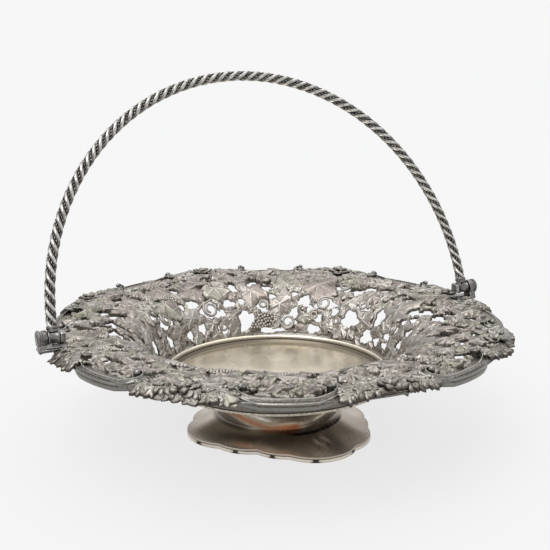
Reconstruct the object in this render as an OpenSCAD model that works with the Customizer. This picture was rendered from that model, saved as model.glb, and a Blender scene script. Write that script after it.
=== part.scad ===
// Silver cake basket: a round pierced dish on a low spreading foot, with a rope-twist swing handle.
// Origin on the table under the middle of the dish, +Z up, handle hinges on the X axis line.

/* [Dish] */
// Diameter of the dish over its rim border
dish_d = 300; // [280:1:320]
// Height of the flat rim land above the table
rim_z = 72; // [68:0.5:78]
// Thickness of the dish's sheet metal
sheet_t = 1.4; // [1:0.1:2]
// Width of the flat land that carries the border mounts
land_w = 17; // [16:0.5:20]
// Slope of the brim between shoulder and land, in degrees
brim_slope = 3.5; // [2:0.5:6]
// Lean of the dish wall from upright, in degrees
wall_lean = 28; // [22:1:32]
// Radius of the shoulder where the wall turns into the brim
shoulder_r = 32; // [26:1:34]
// Width of the wire that stiffens the rim edge
edge_w = 2; // [1.6:0.1:3]
// Height of the wire that stiffens the rim edge
edge_h = 2.4; // [2:0.1:3]

/* [Well] */
// Diameter of the well inside its bead
well_d = 146; // [136:1:152]
// Height of the well plate's rim face above the table
well_z = 37; // [34:0.5:40]
// Depth of the well floor below the rim face
well_sink = 2; // [1:0.5:3]
// Width of the sloping step down to the well floor
well_step = 4; // [3:0.5:6]
// Width of the soldered lip between wall and well plate
lip_w = 4; // [3.6:0.1:5]
// Radius of the half-round bead round the well
bead_r = 1.6; // [1.2:0.1:1.7]

/* [Pierced work] */
// Windows in each of the two rows round the dish
window_count = 16; // [12:1:18]
// Plain band between the lip and the wall windows
wall_band = 4; // [3:0.5:6]
// Height of the windows in the wall
wall_window_h = 17; // [12:0.5:18]
// Angle of the post between two wall windows, in degrees
wall_post = 6; // [4:0.5:9]
// Radius at which the brim windows begin
brim_window_r = 98; // [96:0.5:102]
// Length of the brim windows along the radius
brim_window_l = 25; // [18:0.5:26]
// Angle of the post between two brim windows, in degrees
brim_post = 5; // [4:0.5:8]
// Height of a leaf as a share of the window that it stands in
leaf_fill = 1.2; // [1.15:0.01:1.3]

/* [Rim border] */
// Angle that each scroll covers, in degrees
scroll_angle = 17; // [14:0.5:18]
// Radius of the scroll moulding's half-round section
scroll_r = 2.8; // [2:0.1:3.2]
// Radius of the curl at each end of a scroll
curl_r = 4.4; // [4:0.1:5]
// Section of a curl as a share of the scroll's section
curl_share = 0.7; // [0.5:0.05:0.8]
// Angle that each curl turns through, in degrees
curl_sweep = 210; // [180:5:240]
// Thickness of the thin panel inside each scroll
panel_t = 1; // [0.6:0.1:1.5]
// Radius of one petal of the flowers
petal_r = 3.5; // [2.5:0.1:3.8]
// Petals on each flower
petal_count = 5; // [4:1:6]
// Thickness of one layer of petals
petal_t = 1.1; // [0.6:0.1:1.3]
// Radius of the buds beside each flower
bud_r = 2.6; // [1.5:0.1:3]
// Length of a border leaf
leaf_l = 20; // [14:0.5:21]
// Width of a border leaf
leaf_w = 11; // [8:0.5:12]
// Thickness of a border leaf
leaf_t = 1.8; // [1:0.1:2.4]

/* [Foot] */
// Diameter of the foot over its lobes
foot_d = 114; // [112:1:126]
// Lobes round the edge of the foot
lobe_count = 14; // [12:1:16]
// Radius of one lobe's arc
lobe_r = 28; // [24:1:30]
// Turn of the lobes about the upright axis, in degrees
lobe_turn = 276; // [0:0.1:360]
// How far the front of the foot is pushed in
foot_dent = 9; // [0:0.5:9.5]
// Direction of the pushed-in place, in degrees
dent_turn = 226; // [0:1:360]
// Half of the angle over which the foot is pushed in, in degrees
dent_half = 54; // [40:1:60]
// How far the bent foot's edge stands off the dish's middle, along X
foot_shift_x = 2.2; // [-3:0.1:3]
// How far the bent foot's edge stands off the dish's middle, along Y
foot_shift_y = -6; // [-6:0.1:6]
// Thickness of the foot's sheet metal
foot_t = 1.2; // [1:0.1:1.6]
// Height of the band under the foot's edge
band_h = 2.4; // [2:0.1:3]
// Width of the band under the foot's edge
band_w = 1.8; // [1.4:0.1:2.4]
// Diameter of the seam between collar and foot
seam_d = 82; // [78:1:84]
// Height of the seam above the table
seam_z = 12; // [10:0.5:14]
// Diameter of the collar where it meets the well plate
collar_top_d = 100; // [94:1:110]
// Width of the collar's flat lip under the well plate
collar_lip_w = 4; // [3:0.5:6]

/* [Handle] */
// Distance between the middles of the two handle eyes
handle_span = 295.2; // [282:0.2:306]
// Rise of the rope's middle above the hinge line
handle_rise = 162; // [140:1:190]
// Lean of the handle from upright as it stands, in degrees
handle_lean = 22; // [0:1:45]
// Radius of each thick strand
strand_r = 1.5; // [1.2:0.05:1.55]
// Distance of the thick strands from the rope's middle
strand_lay_r = 2.05; // [2:0.05:2.1]
// Radius of each fine strand
fine_r = 0.65; // [0.5:0.05:0.65]
// Distance of the fine strands from the rope's middle
fine_lay_r = 2.85; // [2.8:0.05:3]
// Length of one full turn of the twist
twist_pitch = 22; // [22:1:34]

/* [Hinges] */
// Height of the hinge line above the rim land
hinge_h = 8; // [7:0.5:12]
// Radius of the handle's eye
eye_r = 4.2; // [3.6:0.1:5]
// Width of the handle's eye
eye_w = 7.4; // [7.2:0.1:8]
// Radius of the eye's neck under the rope
neck_r = 3.4; // [3:0.1:3.5]
// Height of the rope's end above the hinge line
neck_h = 6; // [5:0.5:8]
// Radius of the hinge pin
pin_r = 2; // [1.5:0.1:2.4]
// Radial running clearance of the eye on its pin
pin_clear = 0.05; // [0.02:0.01:0.1]
// Side clearance of the eye between ear and nut
side_clear = 0.3; // [0.2:0.05:0.5]
// Thickness of the upright ear outside the eye
ear_t = 6.2; // [4:0.1:8]
// Radius of the ear's rounded top
ear_r = 5.2; // [4:0.1:6]
// Length of the ear's base past the nut
base_lip = 2; // [1:0.5:3]
// Least length of the ear's base on the rim land
base_seat = 7; // [5:0.5:9]
// Thickness of the ear's base on the rim land
ear_base_t = 2; // [1.4:0.1:2.6]
// Depth of the ear's skirt below the rim land
ear_skirt = 2.4; // [1:0.1:4]
// Gap between the ear's skirt and the dish's edge
skirt_gap = 0.4; // [0.2:0.1:1.2]
// Width across the flats of the square nut
nut_w = 6.2; // [5:0.1:7]
// Thickness of the square nut
nut_t = 3; // [2:0.1:4]
// Clearance of a fixed piece in its seat
seat_clear = 0.02; // [0.01:0.01:0.05]
// Side gap between the ear's base and the flowers beside it
base_gap = 0.4; // [0.2:0.1:1]

/* [Hidden] */
$fn = 64;
// Scrolls, and as many sprays of flowers between them, round the rim
mount_count = 8;
// Thick strands in the rope, and as many fine ones between them
strand_count = 3;
// Points along each round stretch of a section
arc_steps = 8;
// Rings along each strand, and sides of a thick and of a fine strand
ring_steps = 188;
thick_sides = 6;
fine_sides = 4;
// How far a cut runs past the piece that it cuts
overcut = 1;

dish_r = dish_d / 2;
well_r = well_d / 2;
foot_r = foot_d / 2;
seam_r = seam_d / 2;
collar_top_r = collar_top_d / 2;
land_r = dish_r - edge_w;
brim_r = land_r - land_w;
hinge_z = rim_z + hinge_h;
eye_x = handle_span / 2;
ear_x = eye_x + eye_w / 2 + side_clear;
nut_x = eye_x - eye_w / 2 - side_clear - nut_t;
base_x = min(nut_x, land_r - base_seat) - base_lip;
mount_step = 360 / mount_count;
window_step = 360 / window_count;
spray_reach = petal_r * 1.4;

// Cross product of two flat directions, used to find where the wall meets the brim
function cross2(a, b) = a[0] * b[1] - a[1] * b[0];

// Dish section: inner side of the lip, wall, shoulder, brim and land
wall_dir = [sin(wall_lean), cos(wall_lean)];
brim_dir = [cos(brim_slope), sin(brim_slope)];
wall_out = [cos(wall_lean), -sin(wall_lean)];
wall_foot = [well_r + lip_w, well_z + sheet_t];
land_in = [brim_r, rim_z];
wall_run = cross2(land_in - wall_foot, brim_dir) / cross2(wall_dir, brim_dir);
corner = wall_foot + wall_run * wall_dir;
turn = 90 - wall_lean - brim_slope;
tangent_l = shoulder_r * tan(turn / 2);
shoulder_mid = corner - tangent_l * wall_dir + shoulder_r * wall_out;

// Points along the shoulder for a given radius, from the wall up to the brim
function shoulder(r) = [
    for (i = [0:arc_steps])
        let (a = 180 - wall_lean - turn * i / arc_steps)
        shoulder_mid + r * [cos(a), sin(a)]
];

// Corners of the outer side, where the sheet's back turns from lip to wall and from brim to land
outer_drop = sheet_t * (1 - sin(wall_lean)) / cos(wall_lean);
outer_foot = [wall_foot[0] + sheet_t * cos(wall_lean) - outer_drop * sin(wall_lean), well_z];
outer_land = [brim_r + sheet_t * tan(brim_slope / 2), rim_z - sheet_t];

// How far the foot's edge lies out of round at a given angle from the pushed-in place
function wrap(a) = a - 360 * floor((a + 180) / 360);
function bend(a) =
    let (x = abs(wrap(a)))
    x <= dent_half ? -foot_dent * cos(180 * x / dent_half)
    : x < 2 * dent_half ? foot_dent * pow(cos(90 * (x - dent_half) / dent_half), 2)
    : 0;

// Rope path: half an ellipse above the two necks, in the plane y = 0
arch_h = handle_rise - neck_h;
function arch_at(t) = [-eye_x * cos(t), 0, neck_h + arch_h * sin(t)];
function arch_dir(t) =
    let (d = [eye_x * sin(t), 0, arch_h * cos(t)])
    d / norm(d);
arch_points = [for (i = [0:ring_steps]) arch_at(180 * i / ring_steps)];
function arch_step(i) = i < ring_steps ? norm(arch_points[i + 1] - arch_points[i]) : 0;
arch_length = [
    for (i = 0, s = 0; i <= ring_steps; s = s + arch_step(i), i = i + 1)
        s
];

// One ring of a strand, square to the rope's path and stretched along the lay
function strand_ring(i, lay_r, r, phase, sides) =
    let (
        t = 180 * i / ring_steps,
        dir = arch_dir(t),
        side = [dir[2], 0, -dir[0]],
        out = [0, 1, 0],
        a = phase - 360 * arch_length[i] / twist_pitch,
        stretch = norm([1, 2 * PI * lay_r / twist_pitch])
    )
    [
        for (j = [0:sides - 1])
            let (
                u = lay_r + r * cos(360 * j / sides),
                v = r * stretch * sin(360 * j / sides)
            )
            arch_points[i] + side * (u * cos(a) - v * sin(a)) + out * (u * sin(a) + v * cos(a))
    ];

// Flat centre of the dish, with a shallow step up to the soldered lip
module well_plate() {
    floor_z = well_z - well_sink;
    top = [[0, floor_z], [well_r - well_step, floor_z], [well_r, well_z], [well_r + lip_w, well_z]];
    under = [for (i = [len(top) - 1:-1:0]) top[i] - [0, sheet_t]];
    color("wheat") rotate_extrude() polygon(concat(top, under));
}

// Half-round bead on the flange's lip
module well_bead() {
    color("tan") translate([0, 0, well_z + sheet_t]) rotate_extrude()
        translate([well_r + lip_w / 2, 0]) half_round(bead_r);
}

// Section of the whole flange, from its lip to the edge of the land
module flange_section() {
    lip = [[well_r, well_z], [well_r, well_z + sheet_t]];
    edge = [[land_r, rim_z - sheet_t], [land_r, rim_z]];
    inner = concat([lip[1], wall_foot], shoulder(shoulder_r), [land_in, edge[1]]);
    back = concat([lip[0], outer_foot], shoulder(shoulder_r - sheet_t), [outer_land, edge[0]]);
    polygon(concat(inner, [for (i = [len(back) - 1:-1:0]) back[i]]));
}

// Vine leaf drawn flat: five pointed lobes about its middle, stalk towards -Y
module vine_leaf(size) {
    lobes = [
        for (k = [-4:4])
            let (a = 90 + k * 36, far = k % 2 == 0 ? 0.5 : 0.33)
            size * far * [cos(a), sin(a)]
    ];
    stalk = size * [[-0.06, -0.2], [-0.05, -0.5], [0.05, -0.5], [0.06, -0.2]];
    polygon(concat(lobes, stalk));
}

// Block of a given sweep about the upright axis, centred on an angle
module sector_block(angle, sweep, r, w, z, h) {
    rotate([0, 0, angle - sweep / 2]) rotate_extrude(angle = sweep) translate([r, z]) square([w, h]);
}

// One window through the upright wall, with a vine leaf left standing in it
module wall_window(angle) {
    low = wall_foot[1] + wall_band;
    difference() {
        sector_block(angle, window_step - wall_post, well_r, brim_r - well_r, low, wall_window_h);
        rotate([0, 0, angle]) translate([well_r, 0, low + wall_window_h / 2]) rotate([90, 0, 90])
            linear_extrude(brim_r - well_r) vine_leaf(wall_window_h * leaf_fill);
    }
}

// One window through the brim, with a vine leaf left standing in it
module brim_window(angle) {
    mid = brim_window_r + brim_window_l / 2;
    low = rim_z - shoulder_r;
    tall = 2 * shoulder_r;
    difference() {
        sector_block(angle, window_step - brim_post, brim_window_r, brim_window_l, low, tall);
        rotate([0, 0, angle]) translate([mid, 0, low - overcut]) rotate([0, 0, 90])
            linear_extrude(tall + 2 * overcut) vine_leaf(brim_window_l * leaf_fill);
    }
}

// Wall and brim of the dish, pierced round its vine leaves
module pierced_flange() {
    color("darkgray") difference() {
        rotate_extrude() flange_section();
        for (i = [0:window_count - 1]) {
            wall_window(i * window_step);
            brim_window((i + 0.5) * window_step);
        }
    }
}

// Wire round the outer edge of the land
module edge_wire() {
    color("gray") translate([0, 0, rim_z]) rotate_extrude() {
        translate([land_r, -edge_h]) square([edge_w - edge_h / 2, edge_h]);
        translate([dish_r - edge_h / 2, -edge_h / 2]) intersection() {
            circle(edge_h / 2);
            translate([0, -edge_h / 2]) square([edge_h / 2, edge_h]);
        }
    }
}

// Upper half of a round section, flat side down
module half_round(r) {
    intersection() {
        circle(r);
        translate([-r, 0]) square([2 * r, r]);
    }
}

// Plain C-scroll on the land: a moulded back, a curl at each end and a thin panel inside
module rim_scroll(i) {
    back_r = dish_r - scroll_r;
    half = scroll_angle / 2;
    color("lightgray") rotate([0, 0, (i - 0.5) * mount_step]) translate([0, 0, rim_z]) {
        rotate([0, 0, -half]) rotate_extrude(angle = scroll_angle)
            translate([back_r, 0]) half_round(scroll_r);
        for (end = [-1, 1])
            rotate([0, 0, end * half]) translate([back_r - curl_r, 0, 0]) scroll_curl(end);
        rotate([0, 0, -half]) rotate_extrude(angle = scroll_angle)
            translate([back_r - 2 * curl_r, 0]) square([2 * curl_r, panel_t]);
    }
}

// Curl at one end of a scroll, turning in towards the dish round a ball
module scroll_curl(end) {
    rotate([0, 0, end > 0 ? 0 : -curl_sweep]) rotate_extrude(angle = curl_sweep)
        translate([curl_r, 0]) half_round(scroll_r * curl_share);
    intersection() {
        sphere(scroll_r);
        translate([-scroll_r, -scroll_r, 0]) cube([2 * scroll_r, 2 * scroll_r, scroll_r]);
    }
}

// Leaf outline with three notched lobes, pointing along +Y from its stalk
module leaf_outline(l, w) {
    half = [[0.12, 0], [0.5, 0.14], [0.34, 0.3], [0.5, 0.52], [0.28, 0.56], [0.22, 0.8]];
    right = [for (p = half) [p[0] * w, p[1] * l]];
    left = [for (i = [len(half) - 1:-1:0]) [-half[i][0] * w, half[i][1] * l]];
    polygon(concat(right, [[0, l]], left));
}

// Ring of round petals, drawn flat
module petal_ring(r, turned) {
    circle(1.2 * r);
    for (k = [0:petal_count - 1])
        rotate([0, 0, (k + turned) * 360 / petal_count]) translate([1.35 * r, 0]) circle(r);
}

// Flower of two rings of petals about a raised middle
module flower(size) {
    r = petal_r * size;
    linear_extrude(leaf_t + petal_t) petal_ring(r, 0);
    linear_extrude(leaf_t + 2 * petal_t) petal_ring(0.6 * r, 0.5);
    cylinder(r1 = 0.6 * r, r2 = 0.35 * r, h = leaf_t + 3 * petal_t);
}

// Leaves of a spray, drawn flat: two on each side and one towards the dish
module spray_leaves() {
    for (s = [-1, 1]) mirror([0, s < 0 ? 1 : 0]) {
        translate([1, spray_reach]) rotate(4) leaf_outline(leaf_l, leaf_w);
        translate([-2, spray_reach]) rotate(32) leaf_outline(leaf_l * 0.75, leaf_w * 0.8);
    }
    translate([-petal_r, 0]) rotate(90) leaf_outline(leaf_l * 0.6, leaf_w);
}

// Buds beside the flower of a spray
module spray_buds() {
    for (s = [-1, 1]) {
        translate([2.5, s * (spray_reach + leaf_l * 0.55), 0]) bud(bud_r);
        translate([-3, s * (spray_reach + leaf_l * 0.5), 0]) bud(0.8 * bud_r);
    }
}

// One bud: a low cone that stands on the land
module bud(r) {
    cylinder(r1 = r, r2 = 0.6 * r, h = leaf_t + petal_t);
}

// Spray of leaves, flower and buds on the land; at a hinge it parts round the ear's base
module rim_spray(i) {
    mid_r = dish_r - land_w / 2 - edge_w / 2;
    at_hinge = (i - 1) % (mount_count / 2) == 0;
    parting = ear_r + base_gap;
    flower_y = parting + 1.9 * petal_r;
    flower_h = leaf_t + 3 * petal_t;
    color("silver") rotate([0, 0, (i - 1) * mount_step]) translate([mid_r, 0, rim_z]) difference() {
        union() {
            linear_extrude(leaf_t) spray_leaves();
            spray_buds();
            for (y = at_hinge ? [-flower_y, flower_y] : [0])
                translate([0, y, 0]) flower(at_hinge ? 0.8 : 1);
        }
        if (at_hinge)
            translate([-land_w, -parting, -overcut])
                cube([2 * land_w, 2 * parting, flower_h + 2 * overcut]);
    }
}

// Collar between the well plate and the foot, narrowest at the seam
module foot_collar() {
    top_z = well_z - well_sink - sheet_t;
    rise = top_z - seam_z;
    spread = collar_top_r - seam_r;
    big_r = (spread * spread + rise * rise) / (2 * spread);
    sweep = asin(rise / big_r);
    outer = [for (k = [0:arc_steps]) let (a = sweep * k / arc_steps)
        [seam_r + big_r * (1 - cos(a)), seam_z + big_r * sin(a)]];
    lip = [[collar_top_r + collar_lip_w, top_z - foot_t], [collar_top_r + collar_lip_w, top_z]];
    inner = [for (k = [arc_steps:-1:0]) [outer[k][0] - foot_t, outer[k][1]]];
    body = [for (k = [0:arc_steps]) [outer[k][0], min(outer[k][1], top_z - foot_t)]];
    color("dimgray") rotate_extrude() polygon(concat(body, lip, inner));
}

// Outline of the foot's lobed edge, drawn in by an inset
module foot_outline(inset) {
    circle(seam_r);
    translate([foot_shift_x, foot_shift_y]) for (k = [0:lobe_count - 1]) {
        a = lobe_turn + k * 360 / lobe_count;
        rotate([0, 0, a]) translate([foot_r + bend(a - dent_turn) - lobe_r, 0]) circle(lobe_r - inset);
    }
}

// Foot spreading from the seam to its lobed edge
module foot_flare() {
    cove_r = seam_z - band_h - foot_t;
    edge_r = foot_r + foot_dent + norm([foot_shift_x, foot_shift_y]) + overcut;
    cove_x = seam_r + cove_r;
    top = [for (k = [0:arc_steps]) let (a = 180 + 90 * k / arc_steps)
        [cove_x + cove_r * cos(a), seam_z + cove_r * sin(a)]];
    under = [for (k = [arc_steps:-1:0]) let (a = 180 + 90 * k / arc_steps)
        [cove_x + (cove_r + foot_t) * cos(a), seam_z + (cove_r + foot_t) * sin(a)]];
    color("gray") intersection() {
        rotate_extrude() polygon(concat(top, [[edge_r, band_h + foot_t], [edge_r, band_h]], under));
        linear_extrude(seam_z + overcut) foot_outline(0);
    }
}

// Band that stiffens the foot's edge and stands on the table
module foot_band() {
    color("gainsboro") linear_extrude(band_h) difference() {
        foot_outline(0);
        foot_outline(band_w);
    }
}

// Ear that carries one end of the handle: base on the land, upright outside the eye
module hinge_ear(side) {
    color("gray") mirror([side < 0 ? 1 : 0, 0, 0]) difference() {
        union() {
            translate([base_x, -ear_r, rim_z]) cube([ear_x + ear_t - base_x, 2 * ear_r, ear_base_t]);
            translate([ear_x, -ear_r, rim_z - ear_skirt]) cube([ear_t, 2 * ear_r, hinge_h + ear_skirt]);
            translate([ear_x, 0, hinge_z]) rotate([0, 90, 0]) cylinder(r = ear_r, h = ear_t);
        }
        translate([ear_x - overcut, 0, hinge_z]) rotate([0, 90, 0])
            cylinder(r = pin_r + seat_clear, h = ear_t + 2 * overcut);
        translate([0, 0, rim_z - ear_skirt - overcut])
            cylinder(r = dish_r + skirt_gap, h = ear_skirt + overcut);
    }
}

// Plain hinge pin through ear, eye and nut
module hinge_pin(side) {
    color("lightgray") mirror([side < 0 ? 1 : 0, 0, 0])
        translate([nut_x, 0, hinge_z]) rotate([0, 90, 0]) cylinder(r = pin_r, h = ear_x + ear_t - nut_x);
}

// Square nut that keeps the eye on its pin
module hinge_nut(side) {
    color("white") mirror([side < 0 ? 1 : 0, 0, 0]) difference() {
        translate([nut_x, -nut_w / 2, hinge_z - nut_w / 2]) cube([nut_t, nut_w, nut_w]);
        translate([nut_x - overcut, 0, hinge_z]) rotate([0, 90, 0])
            cylinder(r = pin_r + seat_clear, h = nut_t + 2 * overcut);
    }
}

// Places a handle piece on the hinge line, leaning as the handle stands
module on_hinge() {
    translate([0, 0, hinge_z]) rotate([-handle_lean, 0, 0]) children();
}

// Eye of the handle: a barrel on the pin with a short neck for the rope
module handle_eye(side) {
    color("darkgray") mirror([side < 0 ? 1 : 0, 0, 0]) on_hinge() difference() {
        union() {
            translate([eye_x - eye_w / 2, 0, 0]) rotate([0, 90, 0]) cylinder(r = eye_r, h = eye_w);
            translate([eye_x, 0, 0]) cylinder(r = neck_r, h = neck_h);
        }
        translate([eye_x - eye_w, 0, 0]) rotate([0, 90, 0]) cylinder(r = pin_r + pin_clear, h = 2 * eye_w);
    }
}

// One strand of the rope, twisted along the arch from neck to neck
module rope_strand(lay_r, r, phase, sides) {
    rings = [for (i = [0:ring_steps]) strand_ring(i, lay_r, r, phase, sides)];
    points = [for (ring = rings) each ring];
    last = ring_steps * sides;
    walls = [
        for (i = [0:ring_steps - 1], j = [0:sides - 1])
            let (a = i * sides + j, b = i * sides + (j + 1) % sides)
            each [[a, b, b + sides], [a, b + sides, a + sides]]
    ];
    near_cap = [for (j = [1:sides - 2]) [0, j + 1, j]];
    far_cap = [for (j = [1:sides - 2]) [last, last + j, last + j + 1]];
    polyhedron(points, concat(walls, near_cap, far_cap));
}

// Thick strand of the handle
module handle_strand(i) {
    color("silver") on_hinge() rope_strand(strand_lay_r, strand_r, i * 360 / strand_count, thick_sides);
}

// Fine strand lying in the groove between two thick ones
module handle_fine_strand(i) {
    color("whitesmoke") on_hinge()
        rope_strand(fine_lay_r, fine_r, (i + 0.5) * 360 / strand_count, fine_sides);
}

well_plate();
well_bead();
pierced_flange();
edge_wire();
for (i = [1:mount_count]) rim_scroll(i);
for (i = [1:mount_count]) rim_spray(i);
foot_collar();
foot_flare();
foot_band();
hinge_ear(-1);  // hinge_ear_left
hinge_ear(1);  // hinge_ear_right
hinge_pin(-1);  // hinge_pin_left
hinge_pin(1);  // hinge_pin_right
hinge_nut(-1);  // hinge_nut_left
hinge_nut(1);  // hinge_nut_right
handle_eye(-1);  // handle_eye_left
handle_eye(1);  // handle_eye_right
for (i = [1:strand_count]) handle_strand(i);
for (i = [1:strand_count]) handle_fine_strand(i);
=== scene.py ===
"""Looks of a silver cake basket: pierced vine flange, scroll border, lobed foot and rope handle.

Sizes are in millimetres in the classes, and become metres when a mesh is made. Angles are in degrees,
counter-clockwise from +X as seen from above.
"""

import logging
import math
from collections.abc import Sequence
from dataclasses import dataclass, field
from enum import Enum

import bpy
import numpy as np
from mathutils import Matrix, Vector


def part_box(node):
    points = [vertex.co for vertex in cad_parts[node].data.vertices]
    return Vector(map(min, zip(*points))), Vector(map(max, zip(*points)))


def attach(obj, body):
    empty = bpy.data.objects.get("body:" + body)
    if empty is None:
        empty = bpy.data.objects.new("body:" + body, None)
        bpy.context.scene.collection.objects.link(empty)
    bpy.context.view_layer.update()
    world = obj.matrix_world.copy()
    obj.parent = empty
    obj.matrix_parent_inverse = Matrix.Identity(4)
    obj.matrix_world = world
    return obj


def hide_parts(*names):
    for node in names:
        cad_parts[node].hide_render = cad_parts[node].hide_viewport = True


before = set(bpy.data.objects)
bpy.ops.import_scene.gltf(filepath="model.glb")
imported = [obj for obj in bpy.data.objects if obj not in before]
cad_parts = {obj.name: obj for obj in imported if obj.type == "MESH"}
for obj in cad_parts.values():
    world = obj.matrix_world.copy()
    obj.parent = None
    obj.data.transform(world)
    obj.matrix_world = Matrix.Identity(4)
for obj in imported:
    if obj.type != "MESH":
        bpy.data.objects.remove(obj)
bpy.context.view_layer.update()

LOG = logging.getLogger("cake_basket")
MM = 0.001
BASKET = "basket"
HANDLE = "handle"
# Upper end of phases that are drawn at random
ANY_PHASE = 6.28
# Length of a leaf whose longest lobe reaches 1
LEAF_LENGTH = 1.6
Color = tuple[float, float, float]
Mark = tuple[float, float]
Ring = tuple[np.ndarray, np.ndarray | float, float, np.ndarray | float, np.ndarray | float]
Socket = bpy.types.NodeSocket


# Meshes


def bell(value: np.ndarray | float, middle: np.ndarray | float, half: float) -> np.ndarray:
    """Gives a soft hump: 1 at the middle, falling to about a third at half a width from it."""
    return np.exp(-(((value - middle) / half) ** 2))


@dataclass
class Shell:
    """One closed surface in its own millimetre frame.

    Attributes:
        points: Corners, one row each.
        faces: Arrays of corner numbers, one array for each number of sides.
        wear_and_shading: Brightness of the worked metal at each corner, mostly following its height: from 0,
            dark with tarnish in grooves and with painted shade, to 1, rubbed bright on ridges and with
            painted highlights.
    """

    points: np.ndarray
    faces: list[np.ndarray]
    wear_and_shading: np.ndarray

    def moved(self, offset: Sequence[float]) -> "Shell":
        """Gives this shell shifted by an offset."""
        return Shell(self.points + np.asarray(offset, float), self.faces, self.wear_and_shading)

    def turned(self, degrees: float, axis: int = 2) -> "Shell":
        """Gives this shell turned about one of its own axes.

        Args:
            degrees: Turn, right-handed about the axis.
            axis: 0 for X, 1 for Y, 2 for Z.

        Returns:
            The turned shell.
        """
        c, s = math.cos(math.radians(degrees)), math.sin(math.radians(degrees))
        i, j = (axis + 1) % 3, (axis + 2) % 3
        points = self.points.copy()
        points[:, i] = c * self.points[:, i] - s * self.points[:, j]
        points[:, j] = s * self.points[:, i] + c * self.points[:, j]
        return Shell(points, self.faces, self.wear_and_shading)

    def scaled(self, x: float, y: float, z: float) -> "Shell":
        """Gives this shell stretched along its axes."""
        return Shell(self.points * np.array([x, y, z]), self.faces, self.wear_and_shading)


class Gathering:
    """Collects shells, and makes them one Blender object."""

    def __init__(self) -> None:
        """Starts empty."""
        self.points: list[np.ndarray] = []
        self.faces: list[list[int]] = []
        self.wear_and_shading: list[np.ndarray] = []
        self.tint: list[np.ndarray] = []
        self.count = 0

    def add(self, shell: Shell, tint: float | np.ndarray = 0.5) -> None:
        """Takes in one shell.

        Args:
            shell: The shell, in the part's frame.
            tint: Shade of the metal, from 0 for the finish's first tint to 1 for its second; one for the
                shell or one for each corner.
        """
        self.points.append(shell.points)
        self.wear_and_shading.append(np.clip(shell.wear_and_shading, 0, 1))
        self.tint.append(np.broadcast_to(np.asarray(tint, float), (len(shell.points),)))
        for group in shell.faces:
            self.faces.extend((np.asarray(group) + self.count).tolist())
        self.count += len(shell.points)

    def to_object(self, name: str, finish: bpy.types.Material, crease: float = 50.0) -> bpy.types.Object:
        """Makes the collected shells one smooth-shaded object.

        Args:
            name: Name of the object and its mesh.
            finish: Material of the whole object.
            crease: Edges that turn by more than this, in degrees, stay sharp.

        Returns:
            The new object, linked to the scene.
        """
        mesh = bpy.data.meshes.new(name)
        mesh.from_pydata((np.concatenate(self.points) * MM).tolist(), [], self.faces)
        for label, values in (("wear_and_shading", self.wear_and_shading), ("tint", self.tint)):
            layer = mesh.attributes.new(label, "FLOAT", "POINT")
            layer.data.foreach_set("value", np.concatenate(values).astype(np.float32))
        mesh.validate()
        mesh.shade_smooth()
        mesh.set_sharp_from_angle(angle=math.radians(crease))
        mesh.materials.append(finish)
        piece = bpy.data.objects.new(name, mesh)
        bpy.context.scene.collection.objects.link(piece)
        return piece


def grid_faces(rows: int, columns: int, round_rows: bool = False) -> np.ndarray:
    """Numbers the quads of a grid of corners that runs row by row, each row closed on itself.

    Args:
        rows: Rows of corners.
        columns: Corners in a row.
        round_rows: Whether the last row joins the first.

    Returns:
        One row of four corner numbers for each quad.
    """
    i, j = np.meshgrid(np.arange(rows if round_rows else rows - 1), np.arange(columns), indexing="ij")
    down, along = (i + 1) % rows, (j + 1) % columns
    quads = [i * columns + j, i * columns + along, down * columns + along, down * columns + j]
    return np.stack([q.ravel() for q in quads], 1)


def tube(path: np.ndarray, radius: float | np.ndarray, sides: int, wear_and_shading: float = 0.6) -> Shell:
    """Sweeps a round section along a path, closed with a flat cap at each end.

    Args:
        path: Points along the middle.
        radius: Radius, or one for each point.
        sides: Sides of the section.
        wear_and_shading: Wear and shading of the whole tube.

    Returns:
        The swept shell.
    """
    count = len(path)
    radii = np.broadcast_to(np.asarray(radius, float), (count,))
    ahead = np.gradient(path, axis=0)
    ahead /= np.linalg.norm(ahead, axis=1, keepdims=True)
    side = np.cross(ahead[0], [0.0, 0.0, 1.0])
    if np.linalg.norm(side) < 0.1:
        side = np.cross(ahead[0], [0.0, 1.0, 0.0])
    angles = np.linspace(0, 2 * math.pi, sides, endpoint=False)
    rings = []
    for k in range(count):
        side = side - ahead[k] * (side @ ahead[k])
        side /= np.linalg.norm(side)
        over = np.cross(side, ahead[k])
        rings.append(path[k] + radii[k] * (np.outer(np.cos(angles), side) + np.outer(np.sin(angles), over)))
    caps = [np.arange(sides)[None, :], (np.arange(sides)[::-1] + (count - 1) * sides)[None, :]]
    faces = [grid_faces(count, sides)[:, ::-1], *caps]
    return Shell(np.concatenate(rings), faces, np.full(count * sides, wear_and_shading))


def lathe(profile: np.ndarray, steps: int, wear_and_shading: float = 0.6) -> Shell:
    """Turns a closed profile about the Z axis.

    Args:
        profile: Radius and height of each point, counter-clockwise.
        steps: Steps round the axis.
        wear_and_shading: Wear and shading of the whole shell.

    Returns:
        The turned shell.
    """
    angles = np.linspace(0, 2 * math.pi, steps, endpoint=False)
    count = len(profile)
    points = np.empty((steps, count, 3))
    points[..., 0] = np.outer(np.cos(angles), profile[:, 0])
    points[..., 1] = np.outer(np.sin(angles), profile[:, 0])
    points[..., 2] = profile[:, 1]
    faces = [grid_faces(steps, count, round_rows=True)[:, ::-1]]
    return Shell(points.reshape(-1, 3), faces, np.full(steps * count, wear_and_shading))


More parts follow.
